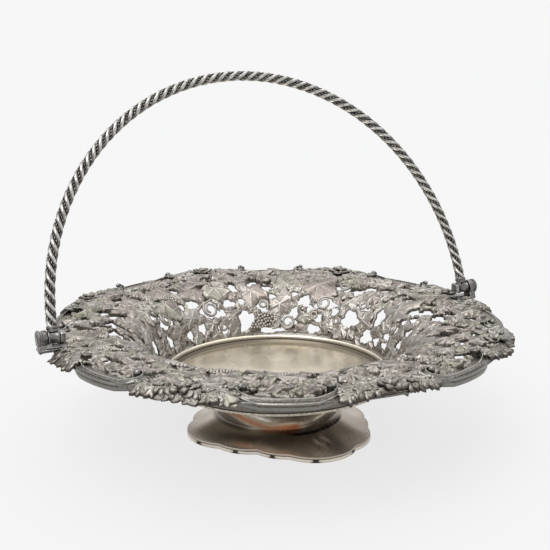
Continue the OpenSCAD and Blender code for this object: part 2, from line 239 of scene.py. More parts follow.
def ball(radius: float, flat: float = 1.0, around: int = 10, rings: int = 7) -> Shell:
    """Makes a ball, or a bead that is flattened along Z.

    Args:
        radius: Radius across.
        flat: Height as a share of the width.
        around: Corners in a ring.
        rings: Rings between the poles.

    Returns:
        The closed ball.
    """
    polar = np.linspace(0, math.pi, rings + 2)[1:-1]
    turn = np.linspace(0, 2 * math.pi, around, endpoint=False)
    x = np.outer(np.sin(polar), np.cos(turn)).ravel()
    y = np.outer(np.sin(polar), np.sin(turn)).ravel()
    z = np.repeat(np.cos(polar), around)
    body = np.stack([x, y, z], 1)
    points = np.concatenate([[[0, 0, 1.0]], body, [[0, 0, -1.0]]])
    last = len(points) - 1
    ring = np.arange(around)
    top = np.stack([np.zeros(around, int), ring + 1, (ring + 1) % around + 1], 1)
    low = 1 + (rings - 1) * around
    bottom = np.stack([np.full(around, last), (ring + 1) % around + low, ring + low], 1)
    sides = grid_faces(rings, around)[:, ::-1] + 1
    wear_and_shading = np.clip(0.36 + 0.42 * points[:, 2], 0, 1)
    return Shell(points * radius * np.array([1, 1, flat]), [sides, top, bottom], wear_and_shading)


def plate(outline: np.ndarray, thick: float, bevel: float, wear_and_shading: float = 0.55) -> Shell:
    """Makes a flat piece with rounded edges, which lies on the plane z = 0.

    Args:
        outline: Corners of its outline, counter-clockwise.
        thick: Thickness.
        bevel: Radius of its edges.
        wear_and_shading: Wear and shading of its faces; the edges stand higher.

    Returns:
        The closed plate.
    """
    middle = outline.mean(0)
    reach = np.linalg.norm(outline - middle, axis=1).mean()
    count = len(outline)
    part = bevel * 0.3
    lower = [(bevel, 0.0), (part, part), (0.0, bevel)]
    steps = [*lower, *((inset, thick - z) for inset, z in lower[::-1])]
    rows = []
    for inset, z in steps:
        flat = middle + (outline - middle) * (1 - inset / reach)
        rows.append(np.column_stack([flat, np.full(count, z)]))
    caps = [np.arange(count)[None, ::-1], np.arange(count)[None, :] + (len(rows) - 1) * count]
    values = np.repeat([wear_and_shading, wear_and_shading + 0.3, wear_and_shading + 0.1, wear_and_shading + 0.1, wear_and_shading + 0.3, wear_and_shading], count)
    return Shell(np.concatenate(rows), [grid_faces(len(rows), count), *caps], values)


# Leaves, flowers and fruit


class LeafCut(Enum):
    """Outline of a leaf.

    Each gives the bearing, reach and half angle of its lobes, how full it is between them, the number of
    its teeth and their depth.
    """

    VINE = (((0, 1.0, 40), (62, 0.94, 38), (-62, 0.94, 38), (122, 0.82, 36), (-122, 0.82, 36)),
            0.66, 28, 0.11)
    IVY = (((0, 1.0, 42), (66, 0.88, 40), (-66, 0.88, 40), (130, 0.66, 34), (-130, 0.66, 34)),
           0.62, 16, 0.1)
    BLADE = (((0, 1.0, 21), (180, 0.55, 30)), 0.42, 0, 0.0)
    SPRAY = (((0, 1.0, 32), (44, 0.8, 26), (-44, 0.8, 26), (92, 0.66, 30), (-92, 0.66, 30), (180, 0.35, 60)),
             0.6, 0, 0.0)
    PETAL = (((0, 1.0, 60), (100, 0.62, 60), (-100, 0.62, 60), (180, 0.5, 60)), 0.5, 0, 0.0)

    def reach(self, bearing: np.ndarray) -> np.ndarray:
        """Gives how far the outline lies from the vein junction at each bearing, in degrees.

        Args:
            bearing: Bearings from the leaf's tip.

        Returns:
            The distances, with the longest lobe as about 1.
        """
        lobes, fall, teeth, depth = self.value
        far = np.full(bearing.shape, 0.3)
        for middle, length, half in lobes:
            off = np.abs((bearing - middle + 180) % 360 - 180) / half
            far = np.maximum(far, length * (fall + (1 - fall) * np.clip(1 - off, 0, 1)) * (off < 1.15))
        saw = (bearing * teeth / 360) % 1.0 if teeth else np.full(bearing.shape, 0.5)
        return far * (1 + depth * (saw - 0.5))


@dataclass(frozen=True)
class LeafForm:
    """How a leaf is struck: its outline and how strongly it is modelled.

    Attributes:
        cut: Outline.
        lift: Height of the leaf's edge above its bed.
        crown: Further rise from the edge to the middle.
        vein: Height of the main veins.
        rib: Height of the fine ribs beside them.
        ruffle: Waviness of the edge.
        around: Corners round the outline.
        rings: Rings of corners from middle to edge.
        groove: Width of the groove round the outline, which is painted dark as shade.
        roll: Height of the rolled edge.
        tilt: Slope at which a leaf may stand off its bed.
        groove_h: Depth of the groove below the edge.
        sunk: Depth of the underside below the bed.
        least_h: Least height of the upper side.
    """

    cut: LeafCut
    lift: float = 0.6
    crown: float = 0.8
    vein: float = 0.45
    rib: float = 0.14
    ruffle: float = 0.42
    around: int = 84
    rings: int = 9
    groove: float = 0.45
    roll: float = 0.2
    tilt: float = 0.08
    groove_h: float = 0.4
    sunk: float = 0.55
    least_h: float = 0.12

    def shell(self, size: float, draw: np.random.Generator, bedded: bool = False) -> Shell:
        """Strikes one leaf, tip towards +Y, on the plane z = 0.

        Args:
            size: Length of the leaf.
            draw: Source of its small irregularities.
            bedded: Whether the underside is left off, for a leaf that is struck in the sheet.

        Returns:
            A shell whose underside, if it has one, is sunk a little below the plane.
        """
        bearing = np.linspace(0, 360, self.around, endpoint=False)
        skew = 0.06 * draw.standard_normal() * np.cos(np.radians(2 * bearing))
        lopsided = 0.05 * draw.standard_normal() * np.sin(np.radians(bearing))
        edge = self.cut.reach(bearing) * (1 + skew + lopsided)
        out = np.linspace(0, 1, self.rings + 1)[1:] ** 0.85
        turn = np.radians(bearing)
        x = -np.outer(out, edge * np.sin(turn))
        y = np.outer(out, edge * np.cos(turn))
        vein, ribs, swell = self._markings(x, y, bearing)
        share = out[:, None]
        wave = np.cos(3 * turn + draw.uniform(0, ANY_PHASE))
        wave = wave + 0.6 * np.cos(5 * turn + draw.uniform(0, ANY_PHASE))
        height = self.lift + self.crown * ((1 - share**2) + 0.5 * (swell - 0.6) * (1 - share**6))
        height = height + self.vein * vein + self.rib * (ribs - 0.5) + self.ruffle * share**2 * wave
        scale = size / LEAF_LENGTH
        rolled = bell(share, 0.9, 0.07)
        lean = self.tilt * scale * draw.standard_normal(2)
        height = height + self.roll * rolled + lean[0] * x + lean[1] * y
        # Painted light: veins, ribs and the rolled edge are brighter, as rubbed wear and painted highlights;
        # the hollows between veins are darker, as tarnish and painted shade
        wear_and_shading = 0.46 + 0.4 * vein + 0.34 * (ribs - 0.5) - 0.3 * (1 - swell) * (share < 0.95)
        wear_and_shading = wear_and_shading + 0.24 * rolled + 0.16 * wave * share + draw.normal(0, 0.06)
        wear_and_shading = np.where(share > 0.97, 0.36, wear_and_shading)
        centre = np.array([[0, 0, self.lift + self.crown + self.vein]])
        height = np.maximum(height, self.least_h)
        top = np.stack([scale * x.ravel(), scale * y.ravel(), height.ravel()], 1)
        wider = scale + self.groove / edge
        levels = (height[-1] - self.groove_h, np.full(self.around, -self.sunk))
        rim = [np.stack([wider * x[-1], wider * y[-1], z], 1) for z in levels]
        points = np.concatenate([centre, top, *rim, [[0, 0, -self.sunk]]])
        # The groove's slope and the underside are painted dark, as painted shade
        below = [np.full(self.around, 0.22), np.full(self.around + 1, 0.05)]
        values = np.concatenate([[0.8], wear_and_shading.ravel(), *below])
        faces = self._faces()
        if bedded:
            under = -self.around - 1
            return Shell(points[:under], [faces[0], faces[1][: -self.around]], values[:under])
        return Shell(points, faces, values)

    def _markings(self, x: np.ndarray, y: np.ndarray, bearing: np.ndarray) -> tuple[np.ndarray, ...]:
        """Works out the veins, the fine ribs and the swell between veins at each corner.

        Args:
            x: Places across the leaf, of unit reach.
            y: Places along the leaf, of unit reach.
            bearing: Bearing of each column of corners.

        Returns:
            Vein, rib and swell, each from 0 to 1.
        """
        vein = np.zeros(x.shape)
        ribs = np.zeros(x.shape)
        swell = np.zeros(x.shape)
        nearest = np.full(bearing.shape, 1e9)
        for middle, length, half in self.cut.value[0]:
            a = math.radians(middle)
            along = -x * math.sin(a) + y * math.cos(a)
            across = np.abs(x * math.cos(a) + y * math.sin(a))
            taper = np.clip(1.1 - along / length, 0, 1) * (along > 0)
            vein = np.maximum(vein, bell(across, 0, 0.05) * taper)
            off = np.abs((bearing - middle + 180) % 360 - 180)
            own = np.broadcast_to(off < nearest, x.shape)
            stripes = 0.5 + 0.5 * np.cos(2 * math.pi * (along - 0.9 * across) / 0.17)
            ribs = np.where(own, 0.5 + (stripes - 0.5) * np.clip(across / 0.1, 0, 1), ribs)
            width = max(length * math.sin(math.radians(half)), 0.2)
            swell = np.where(own, np.clip(1 - (across / width) ** 2, 0, 1), swell)
            nearest = np.minimum(nearest, off)
        return vein, ribs, swell

    def _faces(self) -> list[np.ndarray]:
        """Numbers the faces of a leaf's top, edge and underside.

        Returns:
            Corner numbers of the faces.
        """
        ring = np.arange(self.around)
        after = (ring + 1) % self.around
        middle = np.stack([np.zeros(self.around, int), 1 + ring, 1 + after], 1)
        top = grid_faces(self.rings + 2, self.around)[:, ::-1] + 1
        low = 1 + (self.rings + 1) * self.around
        under = np.stack([np.full(self.around, low + self.around), low + after, low + ring], 1)
        return [middle, top, under]


VINE_LEAF = LeafForm(LeafCut.VINE)
IVY_LEAF = LeafForm(LeafCut.IVY, around=60, rings=7)
BLADE_LEAF = LeafForm(LeafCut.BLADE, 0.6, 0.7, 0.3, 0.12, 0.05, 36, 5, 0.4, 0.1, 0.04)
SPRAY_LEAF = LeafForm(LeafCut.SPRAY, 1.0, 0.8, 0.35, 0.3, 0.35, 72, 7, 0.4, 0.15, 0.1)
PETAL = LeafForm(LeafCut.PETAL, 0.7, 0.5, 0.0, 0.0, 0.2, 36, 6, 0.4, 0.15, 0.0)


def grape_bunch(size: float, draw: np.random.Generator) -> list[Shell]:
    """Heaps up a bunch of grapes that tapers towards +Y.

    Args:
        size: Length of the bunch.
        draw: Source of the unevenness.

    Returns:
        One ball for each grape.
    """
    rows = (2, 4, 5, 5, 5, 4, 4, 3, 2, 1)
    radius = size / (1.5 * len(rows))
    grapes = []
    for k, count in enumerate(rows):
        for m in range(count):
            x = (m - (count - 1) / 2) * radius * 1.75 + draw.normal(0, 0.1) * radius
            y = (k - len(rows) / 2) * radius * 1.5 + draw.normal(0, 0.12) * radius
            heap = 0.6 + 1.2 * max(0.0, 1 - abs(2 * x / size) - 0.3 * abs(2 * y / size))
            grapes.append(ball(radius * draw.uniform(0.9, 1.12), 0.9).moved((x, y, heap * radius)))
    return grapes


def tendril(size: float, wire: float = 0.95, turns: float = 1.4) -> Shell:
    """Coils a tendril, with its tail towards -Y.

    Args:
        size: Diameter of the coil.
        wire: Radius of the tendril.
        turns: Turns of the coil.

    Returns:
        The tendril's tube.
    """
    t = np.linspace(0, 1, 46)
    r = size / 2 * (1 - 0.55 * t)
    a = 2 * math.pi * turns * t - math.pi / 2
    coil = np.stack([r * np.cos(a), r * np.sin(a), 0.7 + 0.5 * t], 1)
    tail = np.stack([np.linspace(-0.55, -0.08, 8) * size, np.full(8, -0.5 * size), np.full(8, 0.7)], 1)
    path = np.concatenate([tail, coil])
    return tube(path, wire * np.linspace(1.15, 0.8, len(path)), 8)


def rosette(size: float, rings: Sequence[tuple[int, float, float]], draw: np.random.Generator) -> list[Shell]:
    """Builds a flower of rings of cupped petals about a button.

    Args:
        size: Diameter of the flower.
        rings: Petals, reach as a share of the radius, and upward tilt in degrees of each ring.
        draw: Source of the unevenness.

    Returns:
        The petals and the button.
    """
    parts = []
    for level, (count, reach, tilt) in enumerate(rings):
        for k in range(count):
            length = size / 2 * reach
            petal = PETAL.shell(length * 1.15, draw).scaled(1.15, 1, 0.9)
            petal = petal.moved((0, length * 0.55, 0)).turned(tilt + draw.normal(0, 4), 0)
            petal = petal.turned(360 * (k + 0.5 * (level % 2)) / count + draw.normal(0, 5))
            parts.append(petal.moved((0, 0, 0.7 + 0.75 * level)))
    parts.append(ball(size * 0.15, 0.8).moved((0, 0, 0.9 + 0.75 * len(rings))))
    return parts


ROSE = ((6, 1.0, 5.0), (5, 0.76, 14.0), (4, 0.5, 24.0))
BLOSSOM = ((5, 1.0, 6.0), (5, 0.55, 16.0))


# Dish


@dataclass
class DishSection:
    """The inner side of the dish from the well's lip to the rim's edge, and places on it.

    Attributes:
        rim_z: Height of the flat land.
        land_r: Radius of the land's outer edge.
        land_w: Width of the land.
        lip_r: Radius at which the lip turns up into the wall.
        lip_z: Height of the lip.
        lip_w: Width of the lip.
        wall_lean: Lean of the wall from upright.
        brim_slope: Slope of the brim.
        shoulder_r: Radius of the turn from wall to brim.
        overhang: How far the line goes on past the land's edge.
        line: Radius and height of points along the section.
        far: Distance of those points from the foot of the wall.
        normal: Direction away from the surface at those points.
    """

    rim_z: float
    land_r: float
    lip_z: float
    land_w: float = 17.0
    lip_r: float = 77.0
    lip_w: float = 4.0
    wall_lean: float = 28.0
    brim_slope: float = 3.5
    shoulder_r: float = 32.0
    overhang: float = 9.0
    line: np.ndarray = field(init=False)
    far: np.ndarray = field(init=False)
    normal: np.ndarray = field(init=False)

    def __post_init__(self) -> None:
        """Works out the section's line, the distance along it and its normals."""
        lean, slope = math.radians(self.wall_lean), math.radians(self.brim_slope)
        up = np.array([math.sin(lean), math.cos(lean)])
        out = np.array([math.cos(slope), math.sin(slope)])
        foot = np.array([self.lip_r, self.lip_z])
        land = np.array([self.land_r - self.land_w, self.rim_z])
        gap = land - foot
        run = (gap[0] * out[1] - gap[1] * out[0]) / (up[0] * out[1] - up[1] * out[0])
        bend = math.pi / 2 - lean - slope
        start = foot + (run - self.shoulder_r * math.tan(bend / 2)) * up
        middle = start + self.shoulder_r * np.array([math.cos(lean), -math.sin(lean)])
        a = math.pi - lean - bend * np.linspace(0, 1, 25)
        arc = middle + self.shoulder_r * np.stack([np.cos(a), np.sin(a)], 1)
        end = np.array([self.land_r + self.overhang, self.rim_z])
        corners = np.concatenate([[foot - (self.lip_w, 0)], [foot], arc, [land], [end]])
        steps = np.linalg.norm(np.diff(corners, axis=0), axis=1)
        far = np.concatenate([[0], np.cumsum(steps)]) - self.lip_w
        self.far = np.linspace(far[0], far[-1], 400)
        self.line = np.stack([np.interp(self.far, far, corners[:, k]) for k in (0, 1)], 1)
        ahead = np.gradient(self.line, axis=0)
        self.normal = np.stack([-ahead[:, 1], ahead[:, 0]], 1)
        self.normal /= np.linalg.norm(self.normal, axis=1, keepdims=True)

    @property
    def land_far(self) -> float:
        """Distance along the section to the inner edge of the land."""
        return float(self.far[-1] - self.overhang - self.land_w)

    def radius(self, far: np.ndarray | float) -> np.ndarray:
        """Gives the radius at a distance along the section."""
        return np.interp(far, self.far, self.line[:, 0])

    def at(self, angle: np.ndarray, far: np.ndarray, height: np.ndarray | float) -> np.ndarray:
        """Finds points above the surface.

        Args:
            angle: Angles round the dish.
            far: Distances along the section.
            height: Heights above the surface.

        Returns:
            One row for each point, in the part's frame.
        """
        r, z = (
            np.interp(far, self.far, self.line[:, k]) + height * np.interp(far, self.far, self.normal[:, k])
            for k in (0, 1))
        a = np.radians(angle)
        return np.stack([r * np.cos(a), r * np.sin(a), z], -1)

    def lay(self, shell: Shell, angle: float, far: float, turn: float = 0.0) -> Shell:
        """Lays a flat shell on the surface.

        Args:
            shell: The shell on the plane z = 0, +Y towards the rim.
            angle: Angle of its middle.
            far: Distance of its middle along the section.
            turn: Turn in the surface first.

        Returns:
            The shell in the part's frame.
        """
        flat = shell.turned(turn).points
        place = np.clip(far + flat[:, 1], self.far[0], self.far[-1])
        sweep = np.degrees(flat[:, 0] / self.radius(place))
        return Shell(self.at(angle - sweep, place, flat[:, 2]), shell.faces, shell.wear_and_shading)


class Sprig(Enum):
    """Kinds of ornament on the flange."""

    LEAF = "leaf"
    IVY = "ivy"
    GRAPES = "grapes"
    COIL = "coil"
    FEATHER = "feather"
    FLOWER = "flower"


@dataclass(frozen=True)
class Place:
    """Where one ornament sits on the flange.

    Attributes:
        kind: What it is.
        angle: Angle round the dish.
        far: Distance up the section.
        size: Length, or diameter of a coil or flower.
        turn: Turn in the surface.
        tint: Shade of the metal.
        both: Whether it repeats on the other half.
    """

    kind: Sprig
    angle: float
    far: float
    size: float
    turn: float = 0.0
    tint: float = 0.5
    both: bool = True


@dataclass(frozen=True)
class Window:
    """One pierced hole.

    Attributes:
        angle: Angle round the dish.
        far: Distance up the section.
        half_w: Half of its width.
        half_h: Half of its height.
        turn: Turn in the surface.
        both: Whether it repeats on the other half.
    """

    angle: float
    far: float
    half_w: float
    half_h: float
    turn: float = 0.0
    both: bool = True


LEAF, IVY, GRAPES, COIL, FEATHER, FLOWER = Sprig

# Half of the flange's ornament; the other half repeats it
PLACES = tuple(Place(*row) for row in (
    (LEAF, 47.5, 43, 32, 182, 0.0), (LEAF, 77.5, 36, 26, 176, 0.05), (LEAF, 93, 42, 24, 190, 0.9),
    (LEAF, 103, 43.5, 26, 172, 0.1), (LEAF, 121.5, 37, 26, 195, 0.85), (LEAF, 112.5, 20, 18, 15, 0.45),
    (LEAF, 89, 15.5, 18, 182, 0.5), (LEAF, 64, 24, 20, 178, 0.15), (LEAF, 1.5, 34, 30, -28, 0.6),
    (IVY, 29.5, 31, 15, 200, 0.5), (LEAF, 17.5, 19, 16, 10, 0.55), (FEATHER, 143, 46, 36, 20, 0.2),
    (IVY, 38.5, 17, 13, 95, 0.5), (IVY, 50.5, 16, 14, 190, 0.8), (LEAF, 100.5, 13, 14, 30, 0.3),
    (GRAPES, 74.5, 10, 20, 118, 0.45), (LEAF, 137, 36, 22, 150, 0.8), (LEAF, 140.5, 24, 18, 15, 0.15),
    (LEAF, 151, 27, 19, 190, 0.6), (LEAF, 61.5, 43, 22, 170, 0.85), (IVY, 32.5, 37, 14, 30, 0.3),
    (IVY, 20, 39, 17, 160, 0.1), (LEAF, 1.5, 62, 25, 200, 0.8), (LEAF, -21, 62, 25, 150, 0.5),
    (LEAF, 101, 57, 22, 160, 0.2), (LEAF, 71, 57, 20, 200, 0.5), (LEAF, 51, 63, 22, 165, 0.3),
    (LEAF, 35, 60, 21, 190, 0.85), (LEAF, 85, 60, 21, 175, 0.6), (LEAF, 117, 52, 20, 150, 0.1),
    (LEAF, 133, 54, 20, 200, 0.5), (LEAF, 149, 68, 20, 170, 0.9), (LEAF, 20, 62, 20, 185, 0.4),
    (LEAF, -12, 27, 19, 160, 0.3), (FEATHER, -22, 36, 26, 200, 0.25), (IVY, 5, 16, 14, 180, 0.7),
    (IVY, -10, 10, 13, 30, 0.4), (IVY, 141, 12, 13, 170, 0.7), (IVY, 124, 12, 14, 10, 0.3),
    (FLOWER, 12, 43, 10, 0, 0.7), (FLOWER, 111, 66, 11, 0, 0.8), (FLOWER, 60, 69, 11, 0, 0.8),
    (COIL, 99.5, 24, 12, 200, 0.5), (COIL, 59.5, 10.5, 10.5, 300, 0.5), (COIL, 42, 27, 11, 170, 0.5),
    (COIL, 36.5, 47, 9, 40, 0.5), (COIL, 72, 24, 7, 80, 0.5), (COIL, 46, 17, 7, 200, 0.5),
    (COIL, 33, 14.5, 6.5, 30, 0.5), (COIL, 21.5, 30, 7, 120, 0.5), (COIL, 128.5, 25, 8, 250, 0.5),
    (COIL, -4, 21.5, 7, 60, 0.5), (COIL, 94.5, 9.5, 6.5, 160, 0.5), (COIL, 66, 9, 6, 10, 0.5),
    (GRAPES, 117, 43, 17, 60, 0.6), (GRAPES, 174, 55, 18, 100, 0.5, False),
    (GRAPES, 212, 43, 20, 70, 0.5, False), (GRAPES, 229, 45, 18, 110, 0.7, False),
    (GRAPES, 248, 45, 17, 80, 0.4, False), (GRAPES, 7, 58, 17, 120, 0.7),
))

# Half of the pierced holes; the other half repeats them
WINDOWS = tuple(Window(*row) for row in (
    (128.5, 24, 6.6, 4.4), (149, 13.5, 4.2, 5.6, -25), (132, 10.5, 2.8, 4.4), (107, 31, 5.0, 3.4),
    (113.5, 31, 1.9, 3.2), (99.5, 24, 6.6, 6.6), (107, 11, 3.0, 3.2), (89, 27, 4.2, 2.8),
    (94.5, 9, 3.5, 3.8), (81.5, 12.5, 4.8, 6.8, -15), (68.5, 4.4, 6.8, 1.5, 0, False), (72, 23, 4.0, 4.2),
    (84.5, 43.5, 2.0, 4.8), (75, 48, 3.8, 3.4), (70, 40, 2.8, 2.8), (93, 57.5, 3.2, 2.4),
    (59.5, 10.5, 4.8, 4.8), (56.5, 18, 2.4, 3.4), (116, 8.5, 2.8, 3.0), (109.5, 51, 2.6, 4.0),
    (117.5, 62, 2.6, 3.0), (67, 64, 3.2, 2.2), (57, 34, 2.4, 2.2), (52, 28, 4.0, 4.4),
    (41.5, 27, 7.4, 4.2), (36.5, 47, 4.8, 4.8), (26.5, 51, 3.6, 4.2), (20, 53, 3.4, 3.4),
    (21, 29.5, 5.0, 2.8), (26, 18, 6.2, 5.6), (9.5, 25, 3.6, 6.6, 12), (10.5, 52, 2.2, 4.0),
    (5.5, 50, 3.0, 2.6), (-6, 39.5, 3.8, 3.0), (-11, 45, 5.0, 3.4), (-4.5, 21, 4.8, 3.0),
    (12.5, 8.5, 4.8, 4.6), (-2, 14.5, 3.8, 2.2), (-3.5, 8, 3.8, 2.0), (-18.5, 25.5, 4.4, 2.8),
    (-17, 15, 4.4, 3.0), (45.5, 6.5, 4.2, 2.6), (44, 15, 3.2, 2.6), (33, 14.5, 3.0, 3.0),
    (147, 58.5, 4.8, 3.0), (141, 69, 4.0, 2.2), (120.5, 70, 4.6, 2.4), (127, 54, 2.6, 4.2),
    (109.5, 62.5, 3.4, 2.4), (101.5, 68, 4.4, 2.4), (16.5, 67.5, 4.6, 2.8), (132.5, 63, 4.0, 2.4),
    (-20.5, 48, 6.0, 3.4), (-12, 34.5, 4.0, 2.4), (44, 70, 3.6, 2.0), (80, 68, 3.6, 2.0),
    (156, 67.5, 4.4, 2.6), (149.5, 49.5, 4.2, 2.4), (-18, 57, 4.2, 2.4), (29.5, 43, 3.2, 3.2),
    (67.5, 31, 2.6, 2.4), (4.5, 8, 2.8, 2.6), (-7.5, 29.5, 2.8, 2.4), (134, 31, 3.4, 2.2),
    (93.5, 20, 2.4, 2.4), (82.5, 28, 2.2, 2.4), (48.5, 21.5, 2.4, 2.4), (35.5, 21.5, 2.6, 2.6),
))


# Waves of a window's edge: depth, waves round the window, and which of its two phases they start at
WINDOW_WAVES = ((0.15, 3, 0), (0.1, 5, 1), (0.07, 9, 0))
SHEET_TINT = 0.45
# The sheet's underside is tinted darker and browner as painted shade
UNDERSIDE_SHADE_TINT = 0.1


@dataclass
class PiercedFlange:
    """Wall and brim of the dish: a pierced sheet under leaves, grapes and tendrils.

    Attributes:
        section: Surface that it follows.
        sheet_t: Thickness of the sheet.
        columns: Corners round the sheet.
        rows: Corners across the sheet.
        half_turn: Angle after which the ornament repeats.
        cut_back: How far the sheet stands back from the windows behind the leaves.
        open_up: Size of the windows as a share of the list.
        open_brim: What the windows on the brim have more.
        bed: Height of the leaves' lower edges, sunk in the sheet.
        brim_far: Distance up the section at which the windows count as the brim's.
        brim_start: Distance up the section at which the leaves begin to stand higher.
        brim_blend: Distance over which they do.
        brim_shade: How much darker the brim is painted than the wall, as painted shade.
        brim_rise: How much higher the leaves on the brim stand.
        edge_press: Least height of a leaf beside a window, as a share of its own.
        edge_slope: How fast that share grows with the distance.
        most_push: Furthest that a corner moves to a window's edge in one go.
        filler_tries: Places tried for the small leaves that fill up between the large ones.
        seed: Seed of all irregularities.
        phases: Where the waves of each window's edge start.
    """

    section: DishSection
    sheet_t: float = 0.9
    columns: int = 560
    rows: int = 84
    half_turn: float = 180.0
    cut_back: float = 0.4
    open_up: float = 1.08
    open_brim: float = 0.3
    bed: float = -0.4
    brim_far: float = 38.0
    brim_start: float = 36.0
    brim_blend: float = 16.0
    brim_shade: float = 0.15
    brim_rise: float = 0.6
    edge_press: float = 0.45
    edge_slope: float = 0.25
    most_push: float = 1.6
    filler_tries: int = 9000
    seed: int = 11
    phases: np.ndarray = field(init=False)

    def build(self, finish: bpy.types.Material) -> list[bpy.types.Object]:
        """Makes the sheet and the ornament on it.

        Args:
            finish: Material of the flange.

        Returns:
            The sheet and the ornament.
        """
        draw = np.random.default_rng(self.seed)
        self.phases = draw.uniform(0, ANY_PHASE, (len(WINDOWS), 2))
        sheet, work = Gathering(), Gathering()
        ground = self._sheet()
        upper = np.arange(len(ground.points)) < self.rows * self.columns
        sheet.add(ground, np.where(upper, SHEET_TINT, UNDERSIDE_SHADE_TINT))
        for start in (0.0, self.half_turn):
            for place in PLACES:
                if place.both or not start:
                    self._ornament(work, place, start, draw)
        self._fill_up(work, draw)
        base = sheet.to_object("vine_sheet", finish)
        top = work.to_object("vine_work", finish)
        for piece in (base, top):
            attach(piece, BASKET)
        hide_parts("pierced_flange")
        return [base, top]

    def hole(self, angle: np.ndarray, far: np.ndarray, which: Sequence[int] | None = None) -> np.ndarray:
        """Gives how far places lie outside the nearest window, in millimetres, negative inside.

        Args:
            angle: Angles round the dish.
            far: Distances along the section.
            which: Numbers of the windows to look at, or all of them.

        Returns:
            The distances.
        """
        best = np.full(np.broadcast(angle, far).shape, 1e3)
        r = self.section.radius(far)
        for k in range(2 * len(WINDOWS)) if which is None else which:
            window, phase = WINDOWS[k // 2], self.phases[k // 2]
            if k % 2 and not window.both:
                continue
            off = (angle - window.angle - self.half_turn * (k % 2) + 180) % 360 - 180
            x, y = -np.radians(off) * r, far - window.far
            c, s = math.cos(math.radians(window.turn)), math.sin(math.radians(window.turn))
            wider = self.open_up + self.open_brim * (window.far > self.brim_far)
            half_w, half_h = wider * window.half_w, wider * window.half_h
            u, v = (c * x + s * y) / half_w, (c * y - s * x) / half_h
            lead = np.arctan2(v, u)
            edge = 1.0
            for depth, waves, which_phase in WINDOW_WAVES:
                edge = edge + depth * np.cos(waves * lead + phase[which_phase])
            best = np.minimum(best, (np.hypot(u, v) / edge - 1) * min(half_w, half_h))
        return best

    def _pushed(
        self, angle: np.ndarray, far: np.ndarray, level: float, which: Sequence[int] | None = None
    ) -> tuple[np.ndarray, np.ndarray]:
        """Moves places straight to a given distance from the nearest window's edge.

        Args:
            angle: Angles round the dish.
            far: Distances along the section.
            level: Distance outside the edge that they go to.
            which: Numbers of the windows to look at, or all of them.

        Returns:
            The moved angles and distances.
        """
        nudge = 0.05
        for _ in range(3):
            r = self.section.radius(far)
            value = self.hole(angle, far, which)
            slope_x = (self.hole(angle + nudge, far, which) - value) / (math.radians(nudge) * r)
            slope_y = (self.hole(angle, far + nudge, which) - value) / nudge
            steep = np.maximum(slope_x**2 + slope_y**2, 0.05)
            step = (level - value) / steep
            angle = angle + np.degrees(np.clip(step * slope_x, -self.most_push, self.most_push) / r)
            far = far + np.clip(step * slope_y, -self.most_push, self.most_push)
        return angle, far

    def _laid(self, shell: Shell, angle: float, far: float, turn: float) -> Shell:
        """Lays a leaf on the surface, cut back to the edges of the windows near it.

        Args:
            shell: The leaf on the plane z = 0.
            angle: Angle of its middle.
            far: Distance of its middle along the section.
            turn: Turn in the surface first.

        Returns:
            The leaf in the part's frame.
        """
        flat = shell.turned(turn).points
        place = np.clip(far + flat[:, 1], self.section.far[0], self.section.far[-1])
        around = angle - np.degrees(flat[:, 0] / self.section.radius(place))
        reach = np.hypot(flat[:, 0], flat[:, 1]).max()
        near = []
        for k in range(2 * len(WINDOWS)):
            window = WINDOWS[k // 2]
            off = (angle - window.angle - self.half_turn * (k % 2) + 180) % 360 - 180
            away = math.hypot(math.radians(off) * self.section.radius(far), far - window.far)
            if away < reach + 1.5 * (self.open_up + self.open_brim) * max(window.half_w, window.half_h):
                near.append(k)
        faces = shell.faces
        if near:
            inside = self.hole(around, place, near) < self.cut_back
            faces = [group[~inside[group].all(1)] for group in faces]
            around[inside], place[inside] = self._pushed(around[inside], place[inside], self.cut_back, near)
        on_brim = np.clip((place - self.brim_start) / self.brim_blend, 0, 1)
        height = flat[:, 2] * (1 + self.brim_rise * on_brim)
        if near:
            room = self.hole(around, place, near)
            height = height * np.clip(self.edge_press + self.edge_slope * room, self.edge_press, 1)
        # Leaves on the brim are painted darker, as painted shade
        leaf = Shell(self.section.at(around, place, height), faces, shell.wear_and_shading - self.brim_shade * on_brim)
        return self._walled(leaf, self.section.at(around, place, self.bed))

    @staticmethod
    def _walled(leaf: Shell, bed: np.ndarray) -> Shell:
        """Closes a leaf's open edges with a wall down to the sheet.

        Args:
            leaf: The leaf, open below.
            bed: Where each of its corners comes to on the sheet.

        Returns:
            The leaf with its wall, without the corners that no face uses.
        """
        count = len(leaf.points)
        first = np.concatenate([group.ravel() for group in leaf.faces])
        second = np.concatenate([np.roll(group, -1, 1).ravel() for group in leaf.faces])
        free = ~np.isin(first * count + second, second * count + first)
        wall = np.stack([second[free], first[free], first[free] + count, second[free] + count], 1)
        faces = [*leaf.faces, wall]
        used = np.unique(np.concatenate([group.ravel() for group in faces]))
        number = np.zeros(2 * count, int)
        number[used] = np.arange(len(used))
        points = np.concatenate([leaf.points, bed])[used]
        # The wall down to the sheet is painted dark, as painted shade
        wear_and_shading = np.concatenate([leaf.wear_and_shading, np.full(count, 0.1)])[used]
        return Shell(points, [number[group] for group in faces], wear_and_shading)

